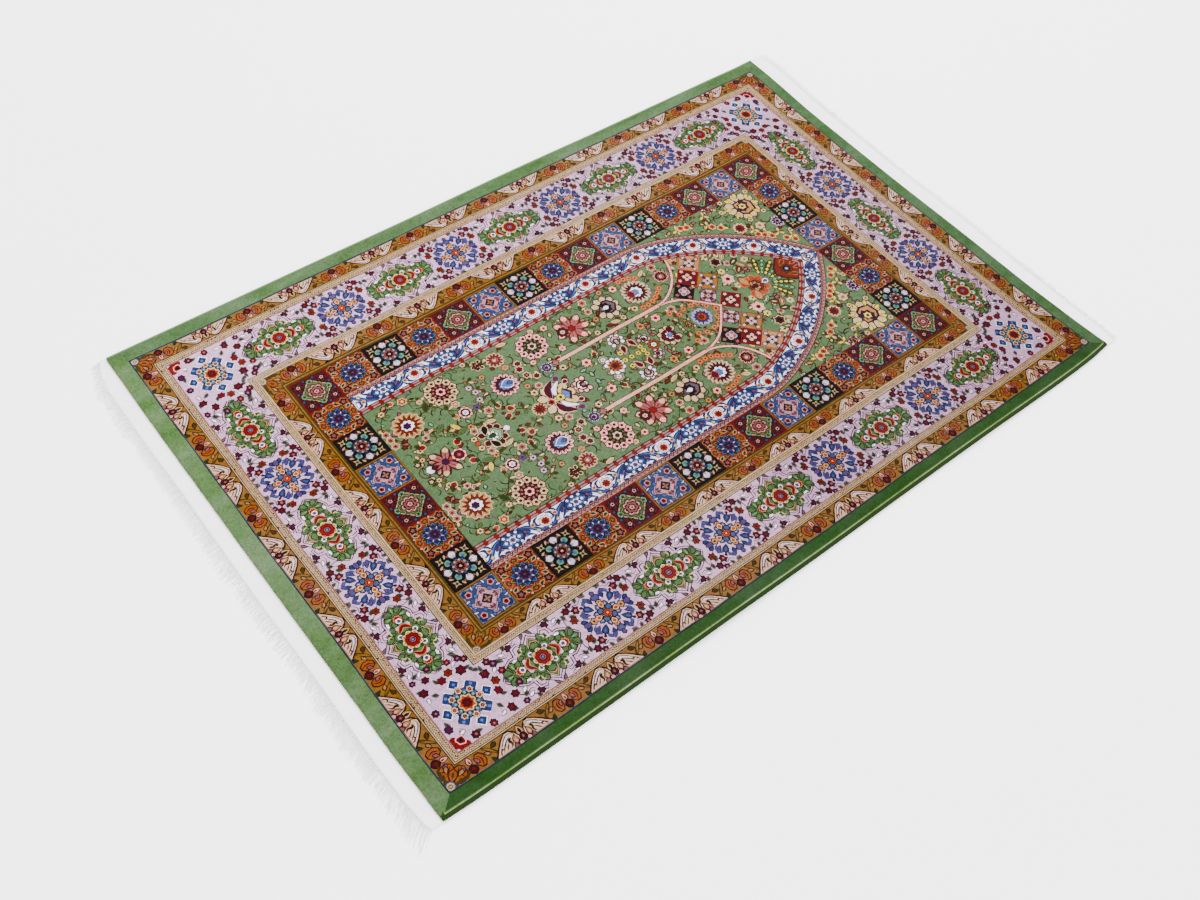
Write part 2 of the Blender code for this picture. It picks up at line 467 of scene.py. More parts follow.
def rose_bud(pen, length, yarn, cup="moss", rim="cream"):
    """Bud on its cup, pointing along the pen's y axis."""
    pen.petal("brown", length + 3.4, length * 0.75 + 3.4, None, start=-1.7, full=0.55)
    pen.petal(yarn, length, length * 0.75, rim, full=0.55)
    pen.petal(cup, length * 0.4, length * 0.5, start=-length * 0.1)


def sunburst(pen, radius, petals, rim, ring, heart, eye, count=14):
    """Full flower of narrow petals about a pale heart."""
    pen.star("brown", radius * 1.07, radius * 0.86, count, None)
    pen.petals(petals, count, radius * 0.5, radius * 0.40, rim, start=radius * 0.48, full=0.6,
               steps=3)
    pen.star(ring, radius * 0.80, radius * 0.5, count)
    pen.lobes(heart, radius * 0.44, 8)
    pen.at(0, -radius * 0.05).lobes(eye, radius * 0.22, 6)


def rosette(pen, radius, petals, rim, dots, ground, heart, eye, count=9):
    """Rosette of round flowerlets about a leafy middle."""
    pen.disc("brown", radius * 0.86, sides=16)
    for turned in pen.turns(count):
        small_flower(turned.at(0, radius * 0.78), radius * 0.27, petals, dots, rim)
    pen.lobes(ground, radius * 0.52, count)
    pen.star(rim, radius * 0.46, radius * 0.3, count, first=20)
    pen.lobes(heart, radius * 0.3, 6, depth=0.15)
    pen.disc(eye, radius * 0.16, sides=6)


def palmette(pen, radius, petals, rim, inner, heart, eye, count=7, spread=250):
    """Fan of petals opening along the pen's y axis, about a pointed heart."""
    for number in range(count):
        turned = pen.at(degrees=spread * (number / (count - 1) - 0.5))
        turned.petal("brown", radius * 0.6 + 3.6, radius * 0.44 + 3.6, None,
                     start=radius * 0.4 - 1.8)
        turned.petal(petals, radius * 0.6, radius * 0.44, rim, start=radius * 0.4)
    pen.petal(rim, radius * 1.3, radius * 1.15, start=-radius * 0.55, full=0.55)
    pen.petal(inner, radius * 1.14, radius * 0.98, start=-radius * 0.48, full=0.55)
    for number in range(5):
        turned = pen.at(0, -radius * 0.1, -90 + 45 * number)
        turned.petal(heart, radius * 0.46, radius * 0.24)
    pen.petal(eye, radius * 0.5, radius * 0.32, start=-radius * 0.3)


def star_lily(pen, radius, petals, tips, rim, heart, count=7, first=0):
    """Lily of long pointed petals with pale tips."""
    for turned in pen.turns(count, first):
        turned.petal(rim, radius * 1.05, radius * 0.5, full=0.6)
        turned.petal(petals, radius * 0.95, radius * 0.38, None, full=0.55)
        turned.petal(tips, radius * 0.42, radius * 0.34, None, start=radius * 0.58, full=0.45)
        turned.stroke(rim, 1.2, (0, radius * 0.2), (0, radius * 0.7))
    pen.lobes(heart, radius * 0.2, 6)


def heart_flower(pen, size, outer, inner, rim="cream"):
    """Heart-shaped flower head, its point along the pen's y axis."""
    for side in pen.mirrored():
        side.leaf(0, 0, -28, "brown", size * 1.25 + 3.4, size * 0.95 + 3.4, None,
                  start=-size * 0.45 - 1.7)
    for side in pen.mirrored():
        side.leaf(0, 0, -28, outer, size * 1.25, size * 0.95, rim, start=-size * 0.45)
    for side in pen.mirrored():
        side.leaf(0, 0, -24, inner, size * 0.8, size * 0.4, None, start=-size * 0.2)


# ---------------------------------------------------------------- border figures

def green_medallion(pen):
    """Green medallion of the main border; x along the border, y outwards."""
    for side in pen.fourfold():
        side.stroke("lilac", 2.4, (0, 36.5), (6, 31), (14, 25), (18, 31), (26, 29), (28, 20),
                    rim="brown", taper=0, steps=1)
        side.stroke("lilac", 1.6, (29, 18), (35, 19), (43, 15), (49, 8), (55, 0), rim="brown",
                    taper=0, steps=1)
        side.stroke("brown", 1.3, (16, 38), (22, 35), (31, 37), (38, 32), (46, 34), steps=2)
        side.stroke("brown", 1.3, (30, 27), (37, 24), (44, 27), (52, 22), (56, 14), steps=2)
        side.leaf(28, 11, -60, "white", 10, 7.5, "mauve", start=-2)
        side.leaf(0, 0, -41, "leaf", 31, 18, full=0.7)
        side.leaf(12, 22, -8, "leaf", 9, 6.5, start=-3)
        side.leaf(22, 13, -82, "leaf", 8.5, 6, start=-3)
        side.leaf(17, 17, -41, "moss", 11, 4.5, None, start=-4, steps=3)
        side.stroke("cream", 1.6, (14, 25), (17, 22), (17, 18))
        side.stroke("cream", 1.6, (25, 16), (21, 18), (18, 17))
        side.leaf(8, 33, 40, "mauve", 7, 3)
    for end in pen.mirrored(38):
        end.lobes("leaf", 10.5, 4, depth=0.13)
        for turned in end.turns(4):
            for turn in (-38, 0, 38):
                turned.leaf(0, 0, turn, "leaf", 11, 6.6, start=5, steps=3)
            turned.stroke("mint", 1.4, (0, 5), (0, 13))
        end.at(-4.5).star("peach", 6.6, 4.8, 8)
        end.at(-4.5).star("red", 5.2, 3.6, 8, None)
        end.at(-7.5).disc("violet", 2.8, "white", sides=6)
    for end in (pen, pen.at(flip=True)):
        end.petal("cream", 30, 17, full=0.5)
        end.petal("leaf", 28, 13.5, full=0.5)
        end.leaf(0, 13, 0, "sky", 9, 10, "white", full=0.5)
        end.leaf(0, 18.5, 0, "maroon", 4.5, 7, "peach")
    pen.lobes("leaf", 21.5, 8, depth=0.1)
    pen.star("moss", 19, 13, 8, None, first=22.5)
    for side in pen.mirrored():
        side.stroke("red", 4.6, (15.5, -8.5), (22.5, 0), (15.5, 8.5), rim="peach", taper=0.4)
        side.stroke("maroon", 1.8, (16, -7), (21.3, 0), (16, 7))
    for turned in pen.turns(4, 45):
        turned.dot(0, 15, "violet", 2.2, "white", sides=6)
    pen.lobes("cream", 13.4, 8, depth=0.1)
    pen.star("orange", 12, 9, 8, None)
    pen.star("red", 9.2, 7, 8, first=22.5)
    for turned in pen.turns(8):
        turned.dot(0, 9.8, "peach", 1, sides=4)
    pen.eye(("maroon", 5.8), ("rose", 3.9), ("night", 3), ("sky", 1.7))


CLUSTERS = (
    (40, 31, 4.6, "maroon", "crimson"), (29, 25, 5, "maroon", "rose"),
    (39, 15, 4.6, "rust", "maroon"), (33, 37, 3.6, "plum", "rose"),
)


def blue_medallion(pen):
    """Blue lattice medallion of the main border; x along the border, y outwards."""
    for side in pen.fourfold():
        side.stroke("brown", 1.2, (20, 34), (34, 36), (48, 27), (50, 12), (46, 0), taper=0.3,
                    steps=2)
        side.stroke("brown", 1.2, (14, 37), (22, 30), (28, 32), (33, 30), steps=2)
        side.leaf(9, 34, -60, "moss", 8, 3.4, "mauve")
        side.leaf(27, 4, -70, "blue", 8, 5, "night")
        side.leaf(19, 9, -60, "violet", 9, 4, "night")
        side.leaf(8, 20, -15, "blue", 9, 4.6, "night")
        side.stroke("brown", 1.1, (24, 20), (34, 26), (40, 32), steps=2)
        side.stroke("brown", 1.1, (30, 8), (36, 12), (42, 16), steps=2)
        for x, y, turn in ((15, 36, 70), (46, 23, -20), (24, 33, 20), (34, 19, -60),
                           (48, 8, -30)):
            side.leaf(x, y, turn, "moss", 7, 3, "mauve")
        for x, y, radius, petals, eye in CLUSTERS:
            small_flower(side.at(x, y), radius, petals, eye)
        side.stroke("slate", 2.6, (6, 26), (12, 29), (18, 25), (17, 17), rim="blue", steps=2)
        side.stroke("slate", 2.6, (17, 17), (24, 17), (27, 10), (22, 5), rim="blue", steps=2)
        side.leaf(23, 12, -60, "violet", 7, 3.6, "blue")
        side.leaf(11, 25, -20, "violet", 7, 3.6, "blue")
        side.leaf(20, 21, -45, "maroon", 6, 4.4, "lilac")
        side.leaf(14, 14, -45, "blue", 13, 7, "night", start=-3)
        side.leaf(14, 14, -45, "slate", 7, 3, None, start=1)
    for side in pen.mirrored(20.5):
        side.leaf(4, 0, -90, "violet", 10, 7, "night")
        small_flower(side, 4.6, "peach", "maroon", "night")
    for end in (pen, pen.at(flip=True)):
        end.petal("violet", 12, 10, "night", start=18)
        end.petal("slate", 8, 5, None, start=20)
        end.petal("violet", 6, 5, "night", start=28)
        small_flower(end.at(0, 17), 3.8, "peach", "maroon", "night")
    for turned in pen.turns(8, 22.5):
        turned.petal("slate", 11, 7, "night", start=6)
        turned.petal("lilac", 6, 2.4, None, start=9)
    for turned in pen.turns(4):
        turned.petal("rust", 8.5, 8, "night", start=7.5)
        turned.petal("orange", 6, 4.8, "cream", start=9.5)
    pen.petals("slate", 4, 8, 7, "night", start=4, first=45)
    pen.lobes("orange", 5.4, 8, "night", depth=0.16)
    pen.eye(("red", 3.2), ("cream", 1.4))


# Flowers round the corner medallion, each with its mirror image over the diagonal
CORNER_BLOOMS = (
    (38, 18, 6.2, "maroon"), (44, 4, 5, "rust"), (39, -8, 5, "crimson"),
    (38, -34, 5.4, "maroon"), (52, -23, 4.4, "maroon"), (54, 23, 4.2, "plum"),
    (57, -38, 3.4, "plum"), (9, -37, 3.8, "plum"), (-37, -15, 4.2, "maroon"),
    (-38, 9, 3.8, "crimson"), (-16, -37, 4.4, "plum"), (49, 29, 4, "maroon"),
    (64, -14, 3.8, "plum"), (57, 10, 3.8, "crimson"),
)
CORNER_LEAVES = (
    (30, 28, 20), (48, 12, -40), (46, -16, 70), (30, -28, 30), (22, -36, -70), (44, -40, 60),
    (56, -6, 10), (60, -28, -50), (30, 38, 100), (-6, -36, 80), (-28, -30, -20), (63, 18, 40),
)


def corner_medallion(pen):
    """Round medallion at a corner of the main border, which lies towards -x, -y."""
    for over in (pen, pen.at(degrees=90, flip=True)):
        for x, y, turn in CORNER_LEAVES:
            over.leaf(x, y, turn, "moss" if turn > 0 else "white", 8, 3.4, "mauve")
        for x, y, radius, yarn in CORNER_BLOOMS:
            small_flower(over.at(x, y), radius, yarn, "crimson" if radius > 4.2 else "rose")
    palm = pen.at(-33, -33, 135)
    for turn in (-75, -45, -15, 15, 45, 75):
        palm.leaf(0, 0, turn, "red", 9, 4.5, "maroon", start=3)
    palm.petal("crimson", 10, 11, "pink", start=-5)
    palm.petal("night", 6, 5, None, start=-3)
    for turned in pen.turns(4, 45):
        turned.at(0, 19).box("white", 15.5, 17)
        turned.at(0, 19).box("night", 13.6, 16)
    for turned in pen.turns(4):
        for yarn, size in (("white", 12), ("night", 10), ("blue", 8.6), ("sky", 3)):
            turned.at(0, 27, 45).box(yarn, size)
    pen.lobes("white", 22.8, 8, None)
    pen.lobes("blue", 21, 8, "night")
    for turned in pen.turns(4, 45):
        turned.at(0, 22).box("blue", 12)
        turned.at(0, 25).box("sky", 3.4)
    for turned in pen.turns(8, 22.5):
        turned.petal("slate", 9, 6, "night", start=9.5)
        turned.petal("mint", 4, 3, None, start=11)
    for number, turned in enumerate(pen.turns(8)):
        small_flower(turned.at(0, 17.5), 2.9, "maroon" if number % 2 else "red", "rose", "cream")
    pen.lobes("cream", 11.4, 8, depth=0.1)
    pen.star("orange", 10.4, 7.4, 8, None)
    pen.star("red", 7.6, 5.8, 8, None, first=22.5)
    pen.lobes("maroon", 4.8, 6)
    pen.disc("crimson", 1.8, sides=6)


def guard_lily(pen):
    """Lily with an amber lobe at each side; y is outwards."""
    for side in pen.mirrored():
        side.stroke("olive", 4.6, (20, -9), (26, -4), (33, 3), (37, 9), full=0.4)
        side.stroke("gold", 2.2, (22, -8), (27, -3), (32, 3))
        side.leaf(20, -3, -60, "peach", 7, 3)
        side.leaf(30, -4, -110, "olive", 8, 3.6)
        side.leaf(24, 5, -30, "moss", 8, 3.4)
        side.dot(12.5, 0, "amber", 6, True, 1.2)
        side.stroke("brown", 1.6, (11, -6), (14.5, 0), (11.5, 6.5))
        side.leaf(6.5, -4, -35, "rose", 7, 3.6, "plum")
    pen.leaf(0, -9, 0, "pink", 9, 5.4, "plum")
    pen.leaf(0, -6, 0, "rust", 5, 2.2, None)
    pen.leaf(0, 0, 0, "maroon", 9.6, 10, "night", full=0.5)
    pen.leaf(0, 2, 0, "red", 4.6, 4, None)


def acanthus_pair(pen, high=9.8):
    """Two curled ivory leaves mirrored about a small bud; y is outwards."""
    for side in pen.mirrored():
        side.shape("brown", [complex(x, y) for x, y in (
            (0, high), (42, high), (37, 5.5), (31.5, 0.2), (25, -5), (17, -9.2), (11, -8.8),
            (6, -5.5), (3, -0.5), (0, 1))])
        side.shape("ivory", [complex(x, y) for x, y in (
            (0, high), (39, high), (34.4, 5.6), (29.8, 1.2), (24, -3.7), (17, -7.8),
            (11.6, -7.4), (7.4, -4.2), (5, 0.4), (0, 2.6))])
        side.stroke("white", 3, (33, 8), (27.5, 2.6), (20.5, -2.6), (13.4, -4.6), full=0.6)
        side.stroke("mauve", 1.3, (36, 9.4), (29, 3.4), (21, -3.4), (14, -6), (8.6, -3))
        side.stroke("olive", 1.5, (30, 9), (25, 3.6), (19, -0.8), (13.6, -2.6))
        side.stroke("brown", 1.4, (25.5, 9.2), (22, 5.6), (18, 2.2))
        side.stroke("brown", 1.6, (33, 9.4), (31, 5.4), (27.5, 4.6), (27, 7), taper=0.3)
        side.stroke("brown", 1.2, (11, -8), (7.6, -3), (9.4, 1.2), (12.4, 0.4), taper=0.3)
        side.stroke("brown", 3.4, (19.5, 9), (15.6, 5.4), (16.6, 0.6), (13, -0.8), full=0.6)
        side.stroke("olive", 1.4, (18.5, 8.4), (15.6, 4.8), (15.8, 1))
        side.leaf(9.6, 3.6, -8, "peach", 9, 6.4, start=-5)
        side.leaf(9.6, 4, -8, "pink", 5.6, 3, None, start=-3)
        side.dot(5.6, 9.6, "pink", 2.6, True, sides=8)
        side.dot(12.5, 9.9, "rose", 2.6, True, sides=8)
    pen.leaf(0, -8.4, 0, "peach", 12, 9)
    pen.leaf(0, -6.4, 0, "brown", 7.5, 4, "cream")
    pen.leaf(0, 0.4, 0, "maroon", 9, 8, "night", full=0.5)
    pen.leaf(0, 2.4, 0, "rose", 4, 3, None)


def guard_corner(pen):
    """Curls in a guard's outer corner, opening along the pen's y axis."""
    for side in pen.mirrored():
        side.stroke("olive", 4, (1, 4), (7, 10), (14, 17), (16, 25), full=0.5)
        side.stroke("amber", 2.4, (3, 10), (6, 14), (9, 21))
        side.leaf(6, 17, -20, "peach", 8, 3.4)
    pen.leaf(0, 9, 0, "amber", 14, 8)
    pen.leaf(0, 12, 0, "olive", 8, 3, None)
    pen.dot(0, 4.5, "cream", 4.4, "slate")
    pen.at(0, 4.5).eye(("olive", 2.4), ("cream", 1.4))


def zigzag(pen, yarn, width, x, pitch, low, high):
    """One tooth of a zig-zag line along x."""
    pen.stroke(yarn, width, (x, low), (x + pitch / 2, high), (x + pitch, low), taper=0, steps=1)


def dotted_strip(pen, length, start):
    """Zig-zag line with dark dots between, along x."""
    pitch = 6.2
    for number in range(int((length - start) / pitch) + 1):
        x = start + number * pitch
        zigzag(pen, "rust", 0.9, x, pitch, -2.6, 2.6)
        pen.at(x + pitch / 2, -1.3).star("brown", 1.3, 0.8, 4, None)
        pen.at(x, 1.5).star("olive", 1.1, 0.7, 4, None)


# ---------------------------------------------------------------- squares

def square_ground(frame_yarn, yarn):
    """Chart of one square with its frame."""
    along, across = SQUARE_LENGTH / 2, SQUARE_WIDTH / 2
    edge = []
    for corner, beyond in (((-1, -1), (1, -1)), ((1, -1), (1, 1)), ((1, 1), (-1, 1)),
                           ((-1, 1), (-1, -1))):
        for share in (0, 0.25, 0.5, 0.75):
            x = corner[0] + share * (beyond[0] - corner[0])
            y = corner[1] + share * (beyond[1] - corner[1])
            edge.append(complex(along * x, across * y))
    pen = Pen(Chart(frame_yarn, edge), "night")
    pen.box(yarn, SQUARE_LENGTH - 3.6, SQUARE_WIDTH - 3.6)
    return pen


def crimson_square():
    pen = square_ground("red", "crimson")
    for corner in pen.fourfold(18.5, 18.5):
        corner.lobes("rose", 7.4, 5, depth=0.14)
        corner.lobes("maroon", 6, 5, depth=0.18)
        corner.star("pink", 3.4, 2.2, 5, None)
        corner.disc("night", 1.6, sides=5)
        for spot in corner.swapped(-11, 6):
            spot.disc("slate", 2.2, True, sides=5)
    for yarn, size in (("night", 36.5), ("cream", 34.5), ("leaf", 31.5)):
        pen.at(degrees=45).box(yarn, size)
    for turned in pen.turns(4):
        turned.petal("mint", 9, 10, start=15, full=0.6)
        turned.petal("olive", 5, 4.5, None, start=17)
    pen.lobes("cream", 17.5, 8, depth=0.12)
    pen.lobes("leaf", 15.4, 8, "moss", depth=0.12)
    pen.lobes("pink", 12.4, 8)
    pen.lobes("brown", 10.4, 8, None)
    pen.lobes("rose", 8.8, 6)
    pen.lobes("brown", 5.6, 6, None)
    pen.lobes("pink", 3.8, 5)
    pen.disc("brown", 1.6, sides=6)
    return pen.chart


def orange_square():
    pen = square_ground("rust", "orange")
    for corner in pen.fourfold(20.5, 21):
        corner.lobes("maroon", 6.6, 5, "peach", depth=0.18)
        corner.star("rose", 3.4, 2.2, 5)
        for spot in corner.swapped(-9.5, 0.5, 60):
            spot.petal("moss", 8, 4, "cream", start=-3)
        corner.leaf(-7.2, -7.2, 135, "butter", 7, 5, start=-3)
        for spot in corner.swapped(-12.5, 6):
            spot.disc("pink", 1.8, True, sides=5)
    for turned in pen.turns(4):
        turned.leaf(0, 18.5, 0, "orange", 10, 13, "peach", full=0.6)
        turned.leaf(0, 20, 0, "gold", 6, 5)
    pen.star("peach", 21.5, 14.5, 8)
    pen.star("olive", 19.5, 13.6, 8, None)
    pen.star("sky", 18.4, 12.6, 8, first=22.5)
    pen.star("blue", 16.2, 11.4, 8, None, first=22.5)
    pen.star("violet", 13.4, 9.8, 8)
    for turned in pen.turns(8):
        turned.stroke("white", 1.2, (0, 6), (0, 12.5))
        turned.stroke("plum", 1.6, (3, 8), (3.4, 12))
    pen.lobes("plum", 7.4, 8, "slate")
    pen.lobes("maroon", 4.8, 6, None)
    pen.disc("violet", 1.8, sides=6)
    return pen.chart


def navy_square():
    pen = square_ground("night", "night")
    pen.box("maroon", 50.5)
    pen.box("night", 48.5)
    for corner in pen.fourfold(19, 19):
        corner.star("cream", 6.4, 2.4, 4, None, first=45)
        corner.disc("olive", 2.2, sides=6)
        corner.leaf(-8.5, 2.5, 30, "cream", 7, 3, None, start=-3)
        corner.leaf(2.5, -8.5, -120, "cream", 7, 3, None, start=-3)
        for spot in corner.swapped(-12, 1.5):
            spot.disc("rose", 1.7, sides=5)
    for turned in pen.turns(4, 45):
        turned.petal("mint", 11, 10, start=10.5, full=0.6)
        turned.petal("sky", 6, 5, None, start=13)
        turned.leaf(0, 10, 0, "slate", 5, 7, None)
    for turned in pen.turns(4):
        turned.petal("white", 12, 10, "mauve", start=13, full=0.6)
        turned.petal("lilac", 5, 4, None, start=13.5)
        turned.petal("slate", 4, 5, start=10)
    pen.star("slate", 12.5, 10.2, 8, "night")
    pen.star("cream", 11, 8.4, 8, None, first=22.5)
    pen.lobes("rose", 8.4, 8, "maroon")
    pen.lobes("maroon", 6.8, 8, None, depth=0.15)
    pen.lobes("night", 4.6, 6, None)
    pen.lobes("pink", 2, 6, None)
    return pen.chart


def slate_square():
    pen = square_ground("gold", "olive")
    pen.box("gold", 51.5)
    pen.box("lilac", 49.5)
    pen.box("slate", 48)
    for corner in pen.fourfold(17, 17):
        corner.dot(3, 3, "blue", 5.4, "sky", sides=6)
        corner.disc("red", 3.6, "pink", sides=5)
        corner.disc("maroon", 1.6, sides=5)
        corner.leaf(-8, 5, 15, "white", 6, 3, "blue", start=-2)
        corner.leaf(5, -8, -105, "white", 6, 3, "blue", start=-2)
        for spot in corner.swapped(-12, 6):
            spot.disc("sky", 2.4, "blue", sides=5)
    for turned in pen.turns(4):
        turned.petal("lilac", 8, 8, "blue", start=14.5)
        turned.petal("rose", 4, 3.6, None, start=16)
    for yarn, size in (("blue", 30.5), ("lilac", 28.5), ("mauve", 25.5), ("pink", 23)):
        pen.at(degrees=45).box(yarn, size)
    pen.petals("sky", 4, 5, 6, "blue", start=12.5, first=45)
    pen.petals("rose", 4, 6.5, 5, "plum", start=7.5)
    for yarn, size in (("lilac", 16), ("night", 12.5), ("plum", 10)):
        pen.at(degrees=45).box(yarn, size)
    pen.petals("peach", 4, 5.6, 2.8, None)
    return pen.chart


# ---------------------------------------------------------------- the border's quarter

def stations(start, end):
    """Even stations from start to end, both included."""
    inner = [STATION * n for n in range(int(start // STATION) + 1, math.ceil(end / STATION))]
    return [start, *inner, end]


def corner_band(outer, inner, outer_side=None):
    """Band between two insets round a quarter of the rug, from its corner at (0, 0).

    x runs along a long side and y along an end, both measured from the rug's edges."""
    side = outer if outer_side is None else outer_side
    points = [complex(x, side) for x in stations(outer, HALF_LENGTH)]
    points += [complex(x, inner) for x in reversed(stations(inner, HALF_LENGTH))]
    points += [complex(inner, y) for y in stations(inner, HALF_WIDTH)[1:]]
    points += [complex(outer, y) for y in reversed(stations(side, HALF_WIDTH)[1:])]
    return points


def along_sides(pen, inset):
    """Pens at the start of the long side and of the end, x along them and y outwards."""
    return pen.at(0, inset, flip=True), pen.at(inset, 0, 90)


def lines(pen, *rows):
    for yarn, outer, inner in rows:
        pen.shape(yarn, corner_band(outer, inner))


def guard(pen, inset, first, side_pitch, end_pitch, corner):
    """Guard border: lilies at each pitch, a leaf pair between them, curls in the corner."""
    long_side, short_end = along_sides(pen, inset)
    for run, pitch, length in ((long_side, side_pitch, HALF_LENGTH),
                               (short_end, end_pitch, HALF_WIDTH)):
        count = int((length - first) / pitch) + 2
        for number in range(count):
            guard_lily(run.at(first + number * pitch, 0))
        for number in range(count):
            acanthus_pair(run.at(first + (number + 0.5) * pitch, 0))
    guard_corner(pen.at(corner, corner, -45))


def dotted_strips(pen, inset):
    """Dotted strip along the long side and along the end."""
    for run, length in zip(along_sides(pen, inset), (HALF_LENGTH, HALF_WIDTH)):
        dotted_strip(run, length, inset)


def outer_guard_chart():
    """Lines, outer guard and dotted strip of a quarter of the rug."""
    pen = Pen(Chart("gold", corner_band(BAND_END, BORDER_START)))
    guard(pen, GUARD_MIDDLE, 57, 135.75, 137.2, GUARD_START)
    lines(pen, ("night", 22, 23), ("slate", 23, 23.9), ("brown", 43.6, 44.6),
          ("sand", 44.6, 45.6), ("brown", 45.6, 46.6), ("sand", 46.6, 53.2),
          ("brown", 53.2, 54), ("pink", 54, 54.5), ("brown", 54.5, 55))
    dotted_strips(pen, STRIP_MIDDLE)
    return pen.chart


def inner_guard_chart():
    """Dotted strip, inner guard and lines of a quarter of the rug."""
    pen = Pen(Chart("gold", corner_band(BORDER_END, SQUARES_START)))
    guard(pen, INNER_GUARD_MIDDLE, 190, 136.7, 140, INNER_GUARD_START)
    lines(pen, ("brown", 132, 133.2), ("sand", 133.2, 140.6), ("brown", 140.6, 141.6),
          ("sand", 141.6, 144.2), ("brown", 144.2, 145), ("olive", 163.8, 165.6),
          ("gold", 165.6, 167.4), ("olive", 167.4, 170))
    dotted_strips(pen, INNER_STRIP_MIDDLE)
    return pen.chart


def scatter(pen, chance, count, span, sizes):
    """Small leaves, curls and dots strewn over a span of x and y."""
    for _ in range(count):
        x = chance.uniform(*span[0])
        y = chance.uniform(*span[1])
        spot = pen.at(x, y, chance.uniform(0, 360), chance.uniform(*sizes))
        form = chance.random()
        if form < 0.3:
            spot.petal(chance.choice(("cream", "peach", "rose", "rust", "mint")), 6, 3, "brown",
                       steps=3)
        elif form < 0.62:
            spot.petal(chance.choice(("moss", "brown", "olive", "mauve")), 6, 2.6, None, steps=3)
        elif form < 0.92:
            spot.stroke(chance.choice(("brown", "moss", "olive")), 1.5, (-6, -2), (0, 1.6), (5, -1),
                        (6, -5), steps=2)
        else:
            spot.star(chance.choice(("rust", "cream", "rose")), 2, 1.2, 5, "brown")


def main_border_chart():
    """Main border of a quarter of the rug."""
    pen = Pen(Chart("lilac", corner_band(BORDER_START, BORDER_END)))
    long_side, short_end = along_sides(pen, BORDER_MIDDLE)
    for run, first, pitch, length in ((long_side, 205, 98.75, HALF_LENGTH),
                                      (short_end, 206, 97, HALF_WIDTH)):
        for number in range(int((length - first) / pitch) + 2):
            spot = run.at(first + number * pitch)
            if number % 2:
                blue_medallion(spot)
                continue
            for side in spot.fourfold():
                for x, y, turn in ((36, 28, -60), (20, 35, -80), (34, 33, 10), (42, 22, -30)):
                    side.leaf(x, y, turn, "white" if turn < -50 else "moss", 8, 3.4, "mauve")
                small_flower(side.at(27.5, 32), 4.3, "maroon", "plum")
            green_medallion(spot)
    corner_medallion(pen.at(99, 98))
    return pen.chart


def green_band_chart(side, end):
    """Plain green band of a quarter of the rug, with the turned-down edge at the end; its side and
    its end are one green in painted nap shades.
    """
    pen = Pen(Chart("band_" + side, corner_band(TURNED_DOWN, BAND_END, CORD_INSET)))
    if side == "right":
        # Painted highlight on the right side's rolled edge: a paler green strip with a light line
        # in it
        lines(pen, ("band_left", 5, 8), ("shine", 5.6, 6.8))
    across = stations(BAND_END, HALF_WIDTH)
    inner = [complex(BAND_END, y) for y in across]
    pen.shape("band_" + end, [complex(TURNED_DOWN, CORD_INSET), *inner,
                              *(complex(TURNED_DOWN, y) for y in reversed(across))])
    for inset in FOLD_INSETS:
        fold = [complex(inset, y) for y in stations(CORD_INSET + 2, HALF_WIDTH)]
        pen.shape("band_" + end, fold + inner[::-1])
    return pen.chart


# ---------------------------------------------------------------- the arch and its band

ARCH_HALF = 164
ARCH_SPRING = 112.2
ARCH_PULLS = (complex(160.9, 197.9), complex(88.6, 311))
ARCH_APEX = complex(0, 369)
ARCH_STEPS = 40


class ArchLine:
    """The white band's outer edge: up the right side, then over the arch to its point."""

    def __init__(self):
        foot = complex(ARCH_HALF, -HALF_LENGTH + INNER_START)
        spring = complex(ARCH_HALF, ARCH_SPRING)
        line = [foot + (spring - foot) * n / ARCH_STEPS for n in range(ARCH_STEPS)]
        for n in range(ARCH_STEPS + 1):
            t = n / ARCH_STEPS
            s = 1 - t
            line.append(s ** 3 * spring + 3 * s * s * t * ARCH_PULLS[0]
                        + 3 * s * t * t * ARCH_PULLS[1] + t ** 3 * ARCH_APEX)
        steps = [abs(b - a) for a, b in zip(line, line[1:])]
        self.line = line
        self.distances = [0, *np.cumsum(steps)]
        self.length = self.distances[-1]

    def place(self, point):
        """Point at a distance along the line and a distance out from it."""
        along = min(max(point.real, 0), self.length)
        x, y = (float(np.interp(along, self.distances, part(self.line)))
                for part in (np.real, np.imag))
        number = min(int(np.searchsorted(self.distances, along, side="right")),
                     len(self.line) - 1)
        ahead = self.line[number] - self.line[number - 1]
        ahead /= abs(ahead)
        return complex(x, y) + (point.real - along) * ahead - 1j * ahead * point.imag

    def edge(self, out, beyond=45):
        """Whole line at a distance out, run on past both of its ends."""
        spans = [-beyond] + list(np.arange(0, self.length + 1, 9)) + [self.length + beyond]
        return [self.place(complex(along, out)) for along in spans]

    def band(self, outer, inner):
        return self.edge(outer) + self.edge(inner)[::-1]


def band_flower(pen):
    """Red flower in a white ring, over the dip of the blue vine; y is outwards."""
    for side in pen.mirrored():
        side.stroke("blue", 6.6, (0, 10.5), (10, 9), (18, 2), (25, -5), (37, -10.5), taper=0.3)
        side.stroke("sky", 1.4, (2, 10.2), (11, 8), (19, 1), (26, -5.5), (34, -9))
        side.stroke("blue", 4.4, (5, -11), (12.5, -8), (13.5, -1), (8.5, 2.5))
        side.stroke("blue", 3.4, (14, -11.5), (19, -9.5), (21, -4))
        side.stroke("blue", 3.8, (22, 9.5), (28, 5), (33, -1))
        side.leaf(15, -5, -60, "orange", 5.5, 4, "cream")
        side.leaf(20, 10, -75, "blue", 11, 4.4, None)
        side.leaf(30, 10.5, -80, "blue", 9, 4, None)
        side.leaf(17, 4, 30, "cream", 6, 4.4, "blue")
    pen.lobes("white", 8.6, 8, "blue")
    pen.lobes("rust", 6, 8, "pink")
    pen.disc("red", 3.4, sides=6)
    pen.disc("maroon", 1.8, sides=5)
    pen.dot(0, 11, "white", 2, "blue", sides=6)


